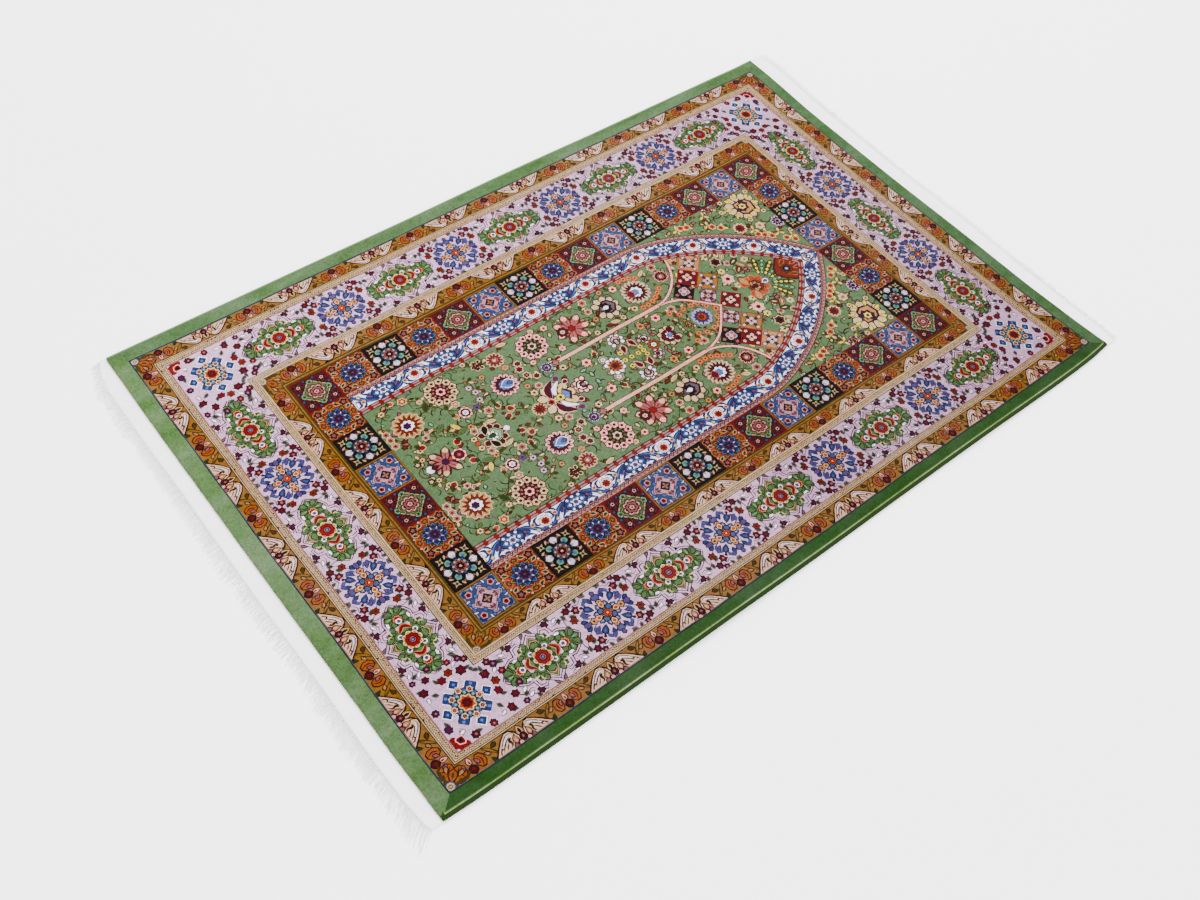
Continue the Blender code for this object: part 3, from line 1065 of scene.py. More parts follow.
def band_lattice(pen):
    """Blue lattice with white dots between two flowers of the band; y is outwards."""
    for side in pen.mirrored():
        side.leaf(10, 0, -90, "sky", 15, 12, "blue")
        side.leaf(14, 0, -90, "orange", 8, 5, "rust")
        side.stroke("blue", 4.6, (4, -11.5), (12, -9), (20, -4), (26, 3), taper=0.4)
    pen.disc("blue", 17, "night", 0.7, sides=12)
    for side in pen.fourfold():
        side.stroke("sky", 1.3, (0, 3), (5, 6), (10, 3), (14, 0), taper=0, steps=2)
        side.dot(9, 8, "white", 2, "blue", sides=6)
        side.dot(5, 3.4, "white", 1.3, sides=5)
    for turned in pen.turns(4):
        turned.dot(0, 9.5, "white", 2.1, "slate", sides=6)
    pen.lobes("slate", 4, 6, "white")
    pen.disc("rust", 1.6, sides=6)


def arch_bands(chart, line):
    """The two narrow strips and the white band between them."""
    plain = Pen(chart)
    bent = Pen(chart, bend=line.place)
    plain.shape("dusk", line.band(8.6, 0))
    pitch = 7.2
    for number in range(int(line.length / pitch) + 4):
        x = number * pitch
        zigzag(bent, "maroon", 1.5, x, pitch, 1.6, 6.6)
        bent.at(x + pitch / 2, 2.2).star("rust", 1.9, 1.1, 4, None)
        bent.at(x, 6.2).star("peach", 1.9, 1.1, 4, None)
    plain.shape("maroon", line.band(9.2, 7.9))
    plain.shape("white", line.band(0.2, -25))
    repeat = 100.5
    first = -4.5
    for number in range(-1, int(line.length / repeat) + 2):
        band_lattice(bent.at(first + repeat / 2 + number * repeat, -12.5))
        band_flower(bent.at(first + number * repeat, -12.5))
    plain.shape("maroon", line.band(0.7, -0.5))
    plain.shape("dusk", line.band(-25, -33.5))
    plain.shape("rust", line.band(-28.4, -30.2))
    spacing = 16.2
    for number in range(int(line.length / spacing) + 4):
        mark = bent.at(number * spacing, -29.2)
        mark.box("maroon", 5, 7.6)
        mark.star("red", 3.6, 2, 4, "rust")
    plain.shape("maroon", line.band(-24.4, -25.7))
    plain.shape("maroon", line.band(-32.8, -34.2))


# ---------------------------------------------------------------- the field

Bloom = namedtuple("Bloom", "x y radius petals eye")
SMALL_BLOOMS = [Bloom(*row) for row in (
    (52, -241, 5, "violet", "plum"), (61, -230, 5, "lilac", "plum"),
    (75, -227, 5, "lilac", "maroon"), (86, -231, 5, "lilac", "plum"),
    (116, -352, 5, "cream", "rust"), (119, -318, 6, "orange", "cream"),
    (104, -300, 5, "cream", "rose"), (60, -365, 5, "rose", "maroon"), (72, -365, 5, "rose", "rust"),
    (83, -365, 5, "rose", "maroon"), (34, -344, 5, "cream", "maroon"),
    (48, -326, 4, "rose", "maroon"), (29, -267, 5, "peach", "rust"), (73, -262, 5, "rose", "cream"),
    (38, -231, 6, "rose", "rust"), (51, -140, 5, "maroon", "crimson"),
    (60, -151, 5, "maroon", "rose"), (74, -154, 5.5, "crimson", "maroon"),
    (84, -150, 5, "maroon", "crimson"), (70, -80, 6, "pink", "rose"), (116, -80, 6, "pink", "red"),
    (86, -6, 5, "peach", "maroon"), (104, -7, 5, "rose", "maroon"), (123, -4, 6, "rose", "red"),
    (29, -68, 8, "pink", "red"), (41, -101, 6, "cream", "maroon"), (43, -162, 5, "peach", "red"),
    (28, -161, 6, "cream", "rust"), (35, -148, 5, "rose", "rust"), (73, -130, 5, "pink", "rose"),
    (88, -168, 6, "peach", "rose"), (70, 55, 6, "cream", "maroon"), (38, 39, 7, "peach", "red"),
    (38, 68, 8, "pink", "red"), (38, 99, 6, "rose", "maroon"), (119, 52, 7, "pink", "crimson"),
    (121, 129, 7, "rose", "maroon"), (66, 30, 5, "cream", "rust"), (125, 30, 5, "peach", "rust"),
    (64, -20, 5, "cream", "moss"), (122, -100, 5, "cream", "rose"),
    (14, -18, 4.5, "butter", "moss"), (8, 14, 4.5, "butter", "moss"),
    (113, 20, 4, "cream", "maroon"), (107, -250, 5, "rose", "maroon"),
    (20, -350, 4, "cream", "rust"), (124, -270, 4.5, "peach", "red"),
    (126, -215, 4.5, "cream", "maroon"), (92, -205, 4.5, "peach", "rust"),
    (20, -268, 5, "rose", "moss"),
)]
ORANGE_BLOOMS = (
    (64.5, 67), (64.5, 77), (66.5, 87), (70.5, 95.5), (75.5, 103.5), (81, 112), (126, 68),
    (126, 77.5), (123, 86), (118.5, 94.5), (22, 102), (27.5, 114), (26.5, 128.5), (12.5, 147.5),
    (24.5, 140), (1, 156), (32, 91),
)
VINES = (
    ((0, -360), (22, -352), (40, -338), (52, -318), (40, -296), (22, -290)),
    ((58, -352), (86, -366), (112, -352), (120, -322), (104, -298), (100, -288)),
    ((98, -310), (88, -290), (70, -276), (60, -262), (53, -250)),
    ((102, -244), (96, -226), (78, -226), (62, -230), (50, -242), (30, -262), (20, -280)),
    ((124, -262), (128, -232), (118, -208), (112, -190), (108, -172), (90, -168)),
    ((62, -166), (50, -150), (52, -134), (70, -128), (80, -124)),
    ((62, -212), (42, -219), (24, -204), (14, -190), (4, -180)),
    ((40, -163), (28, -160), (18, -152)),
    ((98, -92), (112, -84), (124, -66), (126, -30), (112, -14), (104, -6)),
    ((84, -94), (72, -82), (66, -60), (66, -30), (76, -14), (86, -6)),
    ((30, -90), (26, -68), (34, -48), (46, -30), (40, -10)),
    ((40, 0), (30, 22), (38, 40), (46, 54), (38, 68), (34, 90), (40, 100)),
    ((72, 6), (66, 26), (72, 44), (68, 56)),
    ((116, 6), (126, 26), (120, 44), (118, 52), (126, 66)),
    ((100, 98), (112, 110), (120, 128), (110, 140)),
    ((0, 82), (12, 92), (24, 100), (30, 112), (26, 130), (14, 148)),
    ((10, -268), (16, -250), (26, -232), (38, -231)),
    ((0, -10), (16, 0), (16, 20), (8, 32)),
)


def lower_field(pen):
    """Figures of the field below the arches."""
    for vine in VINES:
        pen.stroke("brown", 1.2, *vine, taper=0)
        for place in range(1, len(vine) - 1):
            (x0, y0), (x1, y1) = vine[place], vine[place + 1]
            heading = math.degrees(math.atan2(y1 - y0, x1 - x0)) - 90
            for side, yarn in ((-52, "cream"), (48, "leaf"), (-120, "moss")):
                pen.leaf(x0, y0, heading + side, yarn, 8.5, 3.8, "olive", start=1)
    for bloom in SMALL_BLOOMS:
        small_flower(pen.at(bloom.x, bloom.y), bloom.radius, bloom.petals, bloom.eye, "cream"
                     if bloom.petals in ("maroon", "crimson", "rose", "orange") else "olive")
    for x, y, turn, length, yarn in (
            (40, -344, 30, 11, "red"), (22, -291, 150, 12, "red"), (12, -219, -30, 11, "rust"),
            (42, -217, 80, 9, "rust"), (59, -276, 60, 9, "gold"), (30, -52, -60, 10, "rust"),
            (126, -338, 20, 9, "orange"), (60, -318, 100, 9, "rose"), (8, -348, 10, 9, "rose"),
            (97, 152, -60, 9, "cream"), (58, -100, -20, 9, "rust"), (112, -278, 30, 8, "cream")):
        rose_bud(pen.at(x, y, turn), length, yarn)
    for x, y, turn, yarn in ((41, -284, 60, "butter"), (50, -302, 150, "leaf"),
                             (30, -280, 160, "leaf"), (121, 107, -30, "cream"),
                             (92, -298, 120, "moss"), (126, -150, 10, "cream"),
                             (120, -120, 40, "mint"), (22, -240, 20, "cream"),
                             (84, 152, 100, "butter"), (66, 15, 20, "cream")):
        leaf = pen.at(x, y, turn)
        leaf.petal(yarn, 17, 7, "olive", start=-8, full=0.5)
        leaf.stroke("brown", 0.8, (0, -7), (0, 7))
    sunburst(pen.at(79.5, -333.5), 22, "peach", "cream", "rust", "white", "plum")
    sunburst(pen.at(62.5, -186), 21, "pink", "plum", "maroon", "sky", "slate", 14)
    pen.leaf(62.5, -176, 0, "sky", 20, 15, "white", start=-16)
    pen.leaf(62.5, -178, 0, "slate", 9, 5, start=-5)
    rosette(pen.at(102.5, -266), 24, "cream", "maroon", "maroon", "rose", "pink", "maroon", 11)
    rosette(pen.at(98.5, -114), 24, "pink", "maroon", "maroon", "leaf", "cream", "plum", 11)
    ring_flower(pen.at(53.5, -259), 10, "pink", "maroon", "white", "mint")
    sunburst(pen.at(107.5, -172.5), 13, "rose", "cream", "red", "rose", "cream", 12)
    heart_flower(pen.at(23.5, -203, 190), 9, "red", "rust")
    palmette(pen.at(113, -198, 180), 10, "maroon", "cream", "crimson", "cream", "maroon", 5)
    star_lily(pen.at(92.5, -46), 27, "rose", "pink", "rust", "red", first=14)
    ring_flower(pen.at(94, -61.5), 8.5, "maroon", "maroon", "cream", "rose")
    palmette(pen.at(95.5, 21), 23, "cream", "plum", "mauve", "night", "white", 9, 290)
    sunburst(pen.at(95.5, 78), 24, "cream", "mauve", "maroon", "white", "sky", 18)
    pen.leaf(95.5, 66, 0, "crimson", 12, 14, "rose", start=-4)
    sunburst(pen.at(98.5, 129.5), 13, "pink", "rust", "maroon", "rose", "cream", 10)
    ring_flower(pen.at(18.5, -46), 8, "mint", "rose", "white", "slate")
    for x, y, turn in ((17, -9, -70), (20, 9, -110)):
        pen.leaf(x, y, turn, "rust", 16, 8, "pink", start=-8)
        pen.leaf(x, y, turn, "maroon", 8, 3, start=-4)
    palmette(pen.at(36, -8, -90), 13, "white", "mauve", "pink", "slate", "cream", 7)
    palmette(pen.at(16, 27, -40), 10, "pink", "mauve", "white", "rose", "maroon", 5)
    for x, y in ORANGE_BLOOMS:
        small_flower(pen.at(x, y), 4.6, "peach", "rust", "orange")
        pen.dot(x, y, "maroon", 1.1, sides=5)


def middle_figures(pen):
    """Figures on the rug's long axis, below the arches."""
    star_lily(pen.at(0, -327), 24, "rose", "cream", "maroon", "plum", 6, 0)
    pen.leaf(0, -346, 180, "white", 14, 12, "mauve", start=-4)
    pen.leaf(0, -338, 180, "maroon", 10, 6)
    pen.leaf(0, -322, 0, "orange", 9, 8, "plum")
    ring_flower(pen.at(0, -306.5), 10.5, "pink", "maroon", "crimson", "rose")
    palmette(pen.at(0, -251), 21, "maroon", "cream", "mint", "white", "moss", 9, 300)
    for side in pen.mirrored(0, -262):
        side.leaf(0, 0, -65, "night", 17, 9, "cream", start=6)
        small_flower(side.at(9, -14), 5, "cream", "rust", "olive")
    pen.leaf(0, -229, 0, "white", 10, 9, "mauve", start=-5)
    pen.leaf(0, -276, 0, "orange", 8, 7, "rust", start=-4)
    sunburst(pen.at(0, -172.5), 11, "peach", "cream", "red", "red", "maroon", 12)
    palmette(pen.at(0, -140), 30, "cream", "maroon", "sky", "maroon", "butter", 9, 300)
    for side in pen.mirrored(0, -132):
        side.stroke("maroon", 11, (4, -16), (20, -12), (31, 2), rim="pink")
        side.stroke("white", 7, (3, -8), (16, -4), (25, 9), rim="slate")
        side.stroke("butter", 5, (2, -1), (11, 2), (17, 12), rim="olive")
        side.leaf(30, 8, -20, "rust", 11, 9, "sky", start=-4)
        side.leaf(19, 17, -10, "maroon", 9, 7, "pink", start=-4)
    small_flower(pen.at(0, -136), 7, "butter", "olive", "maroon")
    small_flower(pen.at(0, -152), 6, "red", "night", "cream")
    palmette(pen.at(0, -96, 180), 15, "pink", "maroon", "white", "maroon", "rose", 7, 230)
    palmette(pen.at(0, -39), 16, "white", "mauve", "rust", "orange", "maroon", 9, 290)
    sunburst(pen.at(0, -38), 11, "rust", "peach", "orange", "rust", "maroon", 10)
    for y in (-20, -8, 4, 14):
        small_flower(pen.at(0, y), 4.6, "butter", "moss", "olive")
    ring_flower(pen.at(0, 33), 9, "orange", "moss", "white", "mint")
    palmette(pen.at(0, 64, 180), 19, "cream", "maroon", "crimson", "white", "sky", 9, 280)
    for side in pen.mirrored(0, 62):
        side.leaf(0, 0, -50, "maroon", 12, 8, "crimson", start=6)
    sunburst(pen.at(0, 127), 17, "lilac", "sky", "blue", "orange", "rust", 12)
    sunburst(pen.at(0, 100), 8, "butter", "olive", "leaf", "cream", "rust", 8)


def checker_tile(pen, ground, rim, petals, eye, size):
    """Diamond of the checker over the arches, with one large flower and four small ones."""
    tile = pen.at(degrees=45)
    tile.box(rim, size)
    tile.box(ground, size - 2.6)
    for turned in pen.turns(4):
        turned.at(0, size * 0.44).star(petals, 3.4, 2.2, 5)
        turned.petal("moss", size * 0.2, 2.6, start=size * 0.16)
    tile.petals(petals, 4, size * 0.26, size * 0.2, eye)
    pen.disc(eye, size * 0.07, "cream", sides=6)


def columns_and_arches(pen):
    """Pink columns with their pointed arches, and the checker above."""
    inner = ((54.4, 85), (51, 105), (42.5, 125), (29, 140), (13, 155), (-2, 168))
    outer = ((54.4, 85), (58, 105), (69.5, 125), (84, 140), (100, 150), (118, 157), (145, 163))
    tiles = (
        (54, 139, "night", "maroon", "rose", "lilac", 31),
        (54, 164, "rose", "maroon", "cream", "night", 15),
        (74, 162, "crimson", "red", "pink", "maroon", 31),
        (26, 164, "lilac", "mauve", "rose", "plum", 25),
        (95, 184, "peach", "orange", "lilac", "maroon", 33),
        (50, 183, "gold", "rust", "lilac", "maroon", 33),
        (0, 187, "crimson", "red", "pink", "night", 31),
        (118, 165, "peach", "orange", "rust", "cream", 22),
    )
    for x, y, ground, rim, petals, eye, size in tiles:
        checker_tile(pen.at(x, y), ground, rim, petals, eye, size)
    for line in (inner, outer):
        pen.stroke("brown", 5.4, *line, taper=0, steps=3)
        pen.stroke("pink", 3.4, *line, taper=0, steps=3)
    pen.at(54.4, -10).box("brown", 7.6, 196)
    pen.at(54.4, -10).box("pink", 5.6, 196)
    pen.at(54.4, -10).box("cream", 2, 196)
    pen.at(54.4, -104).star("rose", 5.6, 3.6, 4)
    sunburst(pen.at(54.4, -120), 9.5, "white", "violet", "violet", "lilac", "plum", 8)


def upper_field(pen):
    """Green ground with scrolls over the checker, up to the arch's point."""
    for x, y, radius, petals, eye in (
            (34.4, 212, 10, "pink", "maroon"), (72.5, 220, 9, "maroon", "night"),
            (16, 217, 5, "cream", "rust"), (52, 214, 5, "butter", "olive"),
            (90, 214, 6, "cream", "moss"), (60, 234, 5, "rose", "rust"),
            (104, 208, 5, "butter", "rust"), (84, 232, 5, "cream", "olive"),
            (52, 262, 5, "cream", "rust"), (68, 254, 5, "rose", "maroon")):
        small_flower(pen.at(x, y), radius, petals, eye, "cream")
    for x, y, turn, yarn in ((40, 240, -40, "rust"), (46, 250, -120, "peach"),
                             (30, 232, 30, "mint"), (58, 244, -20, "moss"),
                             (36, 262, 40, "peach"), (76, 236, -50, "cream"),
                             (88, 222, -30, "leaf"), (20, 226, -60, "leaf")):
        leaf = pen.at(x, y, turn)
        leaf.petal(yarn, 18, 8, "brown", start=-8, full=0.5)
        leaf.petal("cream", 10, 3, start=-5)
    for number, turn in enumerate(range(-64, 65, 16)):
        ray = pen.at(0, 252, turn)
        ray.petal("leaf" if number % 2 else "moss", 40, 11, "olive", start=12, full=0.7)
        for reach in (18, 26, 34, 42):
            ray.leaf(0, reach, 0, "mint" if number % 2 else "butter", 7, 4.4)
    palmette(pen.at(0, 238), 23, "orange", "peach", "rust", "peach", "maroon", 9, 280)
    for side in pen.mirrored(0, 232):
        side.leaf(0, 0, -100, "peach", 20, 10, "orange", start=6)
    pen.leaf(0, 256, 0, "white", 13, 10, "violet", start=-5)
    pen.leaf(0, 258, 0, "slate", 7, 4, start=-4)
    lens = [complex(-1, 282), complex(12, 290), complex(22, 301), complex(27, 311),
            complex(-1, 345)]
    pen.shape("maroon", [complex(-1, 279), complex(13, 287), complex(25, 299), complex(31, 311),
                         complex(-1, 350)])
    pen.shape("rust", lens)
    pen.leaf(14, 306, -30, "rust", 16, 6, "gold", start=-8)
    pen.leaf(6, 322, -10, "red", 14, 6, "peach", start=-7)
    ring_flower(pen.at(0, 304), 9, "rust", "night", "slate", "cream")


def spandrels(pen):
    """Flowers outside the arch."""
    chance = random.Random(21)
    scatter(pen, chance, 165, ((60, 172), (232, 372)), (1, 1.7))
    scatter(pen, chance, 36, ((135, 172), (170, 232)), (1, 1.7))
    for vine in (((170, 190), (160, 214), (156, 232), (140, 262), (124, 280), (108, 300)),
                 ((106, 302), (92, 318), (78, 332), (66, 350), (50, 364)),
                 ((172, 250), (160, 270), (166, 290), (150, 310))):
        pen.stroke("olive", 1.3, *vine, taper=0)
        for x, y in vine[1:]:
            for turn in (-70, 50, 160):
                pen.leaf(x, y, turn, "butter" if turn > 0 else "cream", 10, 4.4, "olive")
    for x, y in ((124.7, 276.7), (133.8, 266.6), (73.5, 326), (80.6, 318), (65.5, 335),
                 (155.9, 231.3), (160, 222), (50, 352), (40, 362)):
        small_flower(pen.at(x, y), 5.4, "orange", "rust", "cream")
    sunburst(pen.at(106.7, 301.9), 11, "pink", "cream", "red", "red", "maroon", 10)
    small_flower(pen.at(94, 334), 9, "cream", "rose", "olive")
    palmette(pen.at(168, 284, 90), 10, "pink", "maroon", "rose", "cream", "maroon", 5)
    sunburst(pen.at(86, 366), 11, "violet", "lilac", "plum", "lilac", "night", 10)
    palmette(pen.at(143, 339, 45), 30, "cream", "brown", "peach", "plum", "night", 11, 330)
    for turned in pen.at(143, 339).turns(8, 10):
        turned.leaf(0, 19, 0, "butter", 12, 6, "olive")
    small_flower(pen.at(143, 339), 7, "butter", "plum", "brown")
    for x, y in ((116, 362), (166, 366), (168, 312), (112, 330), (60, 370), (150, 300)):
        small_flower(pen.at(x, y), 5, "cream", "rust", "olive")


def field_chart():
    """Right half of the panel inside the squares."""
    top = HALF_LENGTH - INNER_START
    right = HALF_WIDTH - INNER_START
    rows = 52
    columns = 12
    edge = [complex(right * n / columns, -top) for n in range(columns)]
    edge += [complex(right, -top + 2 * top * n / rows) for n in range(rows)]
    edge += [complex(right - right * n / columns, top) for n in range(columns)]
    edge += [complex(0, top - 2 * top * n / rows) for n in range(rows)]
    pen = Pen(Chart("field", edge))
    line = ArchLine()
    spandrels(pen)
    pen.shape("field", [*line.edge(-30), complex(-60, 300), complex(-60, -420)])
    chance = random.Random(9)
    scatter(pen, chance, 520, ((2, 128), (-370, 165)), (0.9, 1.6))
    scatter(pen, chance, 100, ((2, 110), (190, 290)), (1, 1.7))
    lower_field(pen)
    middle_figures(pen)
    columns_and_arches(pen)
    upper_field(pen)
    arch_bands(pen.chart, line)
    pen.at(0, -top).box("brown", 400, 1.6)
    return pen.chart


# ---------------------------------------------------------------- laying on the rug

class Lie:
    """How the rug lies: the outline and the underside's height, read from the CAD pieces."""

    GRID = 0.015

    def __init__(self):
        near = (HALF_LENGTH + WEB_SPLIT) * MM
        self.right = self.edge("side_cord_right", 1, 0, max)
        self.left = self.edge("side_cord_left", 1, 0, min)
        self.foot = self.edge("web_foot", 0, 1, max, (-near, 0.0))
        self.head = self.edge("web_head", 0, 1, min, (0.0, near))
        self.web_foot = self.edge("web_foot", 0, 1, min, (-1.0, -near))
        self.web_head = self.edge("web_head", 0, 1, max, (near, 1.0))
        self.heights()

    @staticmethod
    def edge(node, axis, read, furthest, span=(-1.0, 1.0)):
        """Stations along an axis, with the furthest reading in a span at each."""
        vertices = frame["nodes"][node].data.vertices
        points = np.array([tuple(vertex.co) for vertex in vertices])
        points = points[(points[:, read] > span[0]) & (points[:, read] < span[1])]
        points = points[np.argsort(points[:, axis])]
        breaks = np.flatnonzero(np.diff(points[:, axis]) > MM) + 1
        parts = np.split(points, breaks)
        return (np.array([part[:, axis].mean() for part in parts]),
                np.array([furthest(part[:, read]) for part in parts]))

    def heights(self):
        """Height of the underside on a grid over the rug."""
        vertices = []
        polygons = []
        for node in frame["nodes"].values():
            start = len(vertices)
            vertices.extend(vertex.co.copy() for vertex in node.data.vertices)
            polygons.extend([start + corner for corner in polygon.vertices]
                            for polygon in node.data.polygons)
        tree = BVHTree.FromPolygons(vertices, polygons)
        low, high = (Vector(corner) for corner in CAD_BOX)
        self.low = low
        columns = math.ceil((high.x - low.x) / self.GRID) + 2
        rows = math.ceil((high.y - low.y) / self.GRID) + 2
        self.grid = np.zeros((rows, columns))
        for row in range(rows):
            for column in range(columns):
                spot = Vector((low.x + column * self.GRID, low.y + row * self.GRID, -0.05))
                self.grid[row, column] = max(tree.find_nearest(spot)[0].z, 0.0)

    def lift(self, x, y):
        """Height of the underside at points given as arrays of x and y."""
        column = np.clip((x - self.low.x) / self.GRID, 0, self.grid.shape[1] - 1.001)
        row = np.clip((y - self.low.y) / self.GRID, 0, self.grid.shape[0] - 1.001)
        i, j = row.astype(int), column.astype(int)
        s, t = row - i, column - j
        return ((self.grid[i, j] * (1 - t) + self.grid[i, j + 1] * t) * (1 - s)
                + (self.grid[i + 1, j] * (1 - t) + self.grid[i + 1, j + 1] * t) * s)

    @staticmethod
    def read(table, station):
        return np.interp(station, *table)

    def place(self, x, y):
        """World x and y of points given in millimetres from the middle of the rug."""
        x = np.interp(x, *zip(*WOVEN_ACROSS))
        y = np.interp(y, *zip(*WOVEN_ALONG))
        across = x / (2 * HALF_WIDTH) + 0.5
        along = y / (2 * HALF_LENGTH) + 0.5
        left = self.read(self.left, y * MM)
        foot = self.read(self.foot, x * MM)
        wide = self.read(self.right, y * MM) - left
        high = self.read(self.head, x * MM) - foot
        return left + across * wide, foot + along * high


@cache
def rug_lie():
    """The rug's lie, read once."""
    return Lie()


def wander(x, y, reach):
    """Slow and quick wandering of hand-knotted lines, as steps in x and y."""
    slow_x = np.sin(y / 43.0 + 1.3 * np.sin(x / 61.0)) + 0.5 * np.sin(y / 17.0 + x / 29.0)
    slow_y = np.sin(x / 47.0 + 1.1 * np.sin(y / 71.0)) + 0.5 * np.sin(x / 19.0 - y / 23.0)
    quick_x = np.sin(1.9 * y + 2.3 * np.sin(0.7 * x))
    quick_y = np.sin(1.7 * x + 2.1 * np.sin(0.8 * y))
    return reach * (0.6 * slow_x + 0.22 * quick_x), reach * (0.6 * slow_y + 0.22 * quick_y)


def palette(yarns):
    """Yarn colours as rows, in the order of YARNS."""
    return np.array([tuple(getattr(yarns, yarn)) for yarn in YARNS])


def place_patch(patch, turned):
    """Patch with its corners set by turned(points), its winding kept upwards."""
    points = patch.corners[:, 0] + 1j * patch.corners[:, 1]
    moved = turned(points)
    corners = np.column_stack((moved.real, moved.imag))
    a, b, c = (corners[patch.triangles[:, n]] for n in range(3))
    area = (b[:, 0] - a[:, 0]) * (c[:, 1] - a[:, 1]) - (b[:, 1] - a[:, 1]) * (c[:, 0] - a[:, 0])
    triangles = patch.triangles.copy()
    triangles[area < 0] = triangles[area < 0][:, ::-1]
    return Patch(corners, triangles, patch.yarns)


def quarters(patch, sides=(1, -1), ends=(1, -1)):
    """Mirror images of a quarter of the border."""
    placed = []
    for side in sides:
        for end in ends:
            placed.append(place_patch(patch, lambda p: (side * (HALF_WIDTH - p.imag)
                                                        + 1j * end * (HALF_LENGTH - p.real))))
    return placed


def joined(patches):
    """Several patches as one."""
    corners = np.concatenate([patch.corners for patch in patches])
    starts = np.cumsum([0] + [len(patch.corners) for patch in patches[:-1]])
    triangles = np.concatenate([p.triangles + s for p, s in zip(patches, starts)])
    return Patch(corners, triangles, np.concatenate([patch.yarns for patch in patches]))


def new_mesh_object(name, points, triangles, material):
    """Mesh object from arrays of points and triangles."""
    mesh = bpy.data.meshes.new(name)
    mesh.vertices.add(len(points))
    mesh.vertices.foreach_set("co", points.astype(np.float32).ravel())
    mesh.loops.add(3 * len(triangles))
    mesh.loops.foreach_set("vertex_index", triangles.astype(np.int32).ravel())
    mesh.polygons.add(len(triangles))
    mesh.polygons.foreach_set("loop_start", np.arange(0, 3 * len(triangles), 3, dtype=np.int32))
    mesh.update(calc_edges=True)
    mesh.validate()
    mesh.materials.append(material)
    mesh.shade_smooth()
    piece = bpy.data.objects.new(name, mesh)
    bpy.context.scene.collection.objects.link(piece)
    return piece


def add_flat_map(piece):
    """Map that lays the piece out as seen from above."""
    mesh = piece.data
    flat = mesh.uv_layers.new(name="OFBake")
    points = np.zeros(3 * len(mesh.vertices))
    mesh.vertices.foreach_get("co", points)
    points = points.reshape(-1, 3)[:, :2]
    low = points.min(axis=0)
    span = points.max(axis=0) - low
    corners = np.zeros(len(mesh.loops), dtype=np.int32)
    mesh.loops.foreach_get("vertex_index", corners)
    flat.data.foreach_set("uv", ((points - low) / span)[corners].astype(np.float32).ravel())


def painted_nap_shade(patch, depth):
    """Share of a yarn's lightness kept over each triangle: painted nap shade, darker towards the
    right side and the head, as the nap leans off to one side.
    """
    middles = patch.corners[patch.triangles].mean(axis=1)
    lean = 0.18 * middles[:, 0] / HALF_WIDTH + 0.06 * middles[:, 1] / HALF_LENGTH
    return (depth * (1.0 - lean))[:, None]


def lay_pile(name, patch, lie, make, yarns, material, depth):
    """Pile piece from a patch: laid on the rug's outline, each triangle in its yarn, darkened by
    the piece's share and by the painted nap shade.
    """
    x, y = patch.corners[:, 0], patch.corners[:, 1]
    past = HALF_LENGTH - np.abs(y)
    bend = make.edge_round / MM
    sag = past - bend
    quarter = math.pi * bend / 2
    turn = np.clip(-sag / bend, 0.0, math.pi / 2)
    inset = np.where(sag >= 0, past, bend * (1 - np.sin(turn)))
    drop = np.where(sag >= 0, 0.0, bend * (1 - np.cos(turn)) + np.maximum(-sag - quarter, 0.0))
    step_x, step_y = wander(x, y, make.wander / MM)
    keep = np.clip(np.minimum(past, HALF_WIDTH - np.abs(x) - CORD_INSET) / 15.0, 0.0, 1.0)
    x = x + step_x * keep
    y = np.sign(y) * (HALF_LENGTH - inset) + step_y * keep
    world_x, world_y = lie.place(x, y)
    z = lie.lift(world_x, world_y) + make.pile_height - drop * MM
    piece = new_mesh_object(name, np.column_stack((world_x, world_y, z)), patch.triangles,
                            material)
    mesh = piece.data
    colours = np.ones((len(mesh.loops), 4), np.float32)
    colours[:, :3] = np.repeat(palette(yarns)[patch.yarns] * painted_nap_shade(patch, depth), 3, axis=0)
    layer = mesh.color_attributes.new("yarn", "BYTE_COLOR", "CORNER")
    layer.data.foreach_set("color", colours.ravel())
    add_flat_map(piece)
    return piece


# ---------------------------------------------------------------- materials

class Nodes:
    """Short way to add and link the nodes of one tree."""

    def __init__(self, tree):
        self.tree = tree

    def add(self, kind, settings=None, **inputs):
        node = self.tree.nodes.new(kind)
        for name, value in (settings or {}).items():
            setattr(node, name, value)
        for name, value in inputs.items():
            socket = node.inputs[int(name[1:])] if name[1:].isdigit() else node.inputs[
                name.replace("_", " ")]
            if isinstance(value, bpy.types.NodeSocket):
                self.tree.links.new(value, socket)
            else:
                socket.default_value = value
        return node

    def math(self, operation, a, b=0.0):
        return self.add("ShaderNodeMath", {"operation": operation}, i0=a, i1=b).outputs[0]

    def swing(self, value, middle, gain):
        """How far a value lies from its middle, times a gain."""
        return self.math("MULTIPLY", self.math("SUBTRACT", value, middle), gain)

    def noise(self, where, scale, detail=2.0, roughness=0.5, distortion=0.0):
        node = self.add("ShaderNodeTexNoise", None, Vector=where, Scale=scale, Detail=detail,
                        Roughness=roughness, Distortion=distortion)
        return node.outputs["Fac"]


EFFECT_OUTPUTS = (
    ("Colour", "NodeSocketColor"), ("Roughness", "NodeSocketFloat"), ("Height", "NodeSocketFloat"),
)


def new_group(name, inputs):
    """Node group of a cloth's effect: name, kind and default of each input."""
    tree = bpy.data.node_groups.new(name, "ShaderNodeTree")
    for title, kind, default in inputs:
        socket = tree.interface.new_socket(title, in_out="INPUT", socket_type=kind)
        socket.default_value = default
    for title, kind in EFFECT_OUTPUTS:
        tree.interface.new_socket(title, in_out="OUTPUT", socket_type=kind)
    nodes = Nodes(tree)
    return nodes, nodes.add("NodeGroupInput").outputs, nodes.add("NodeGroupOutput").inputs


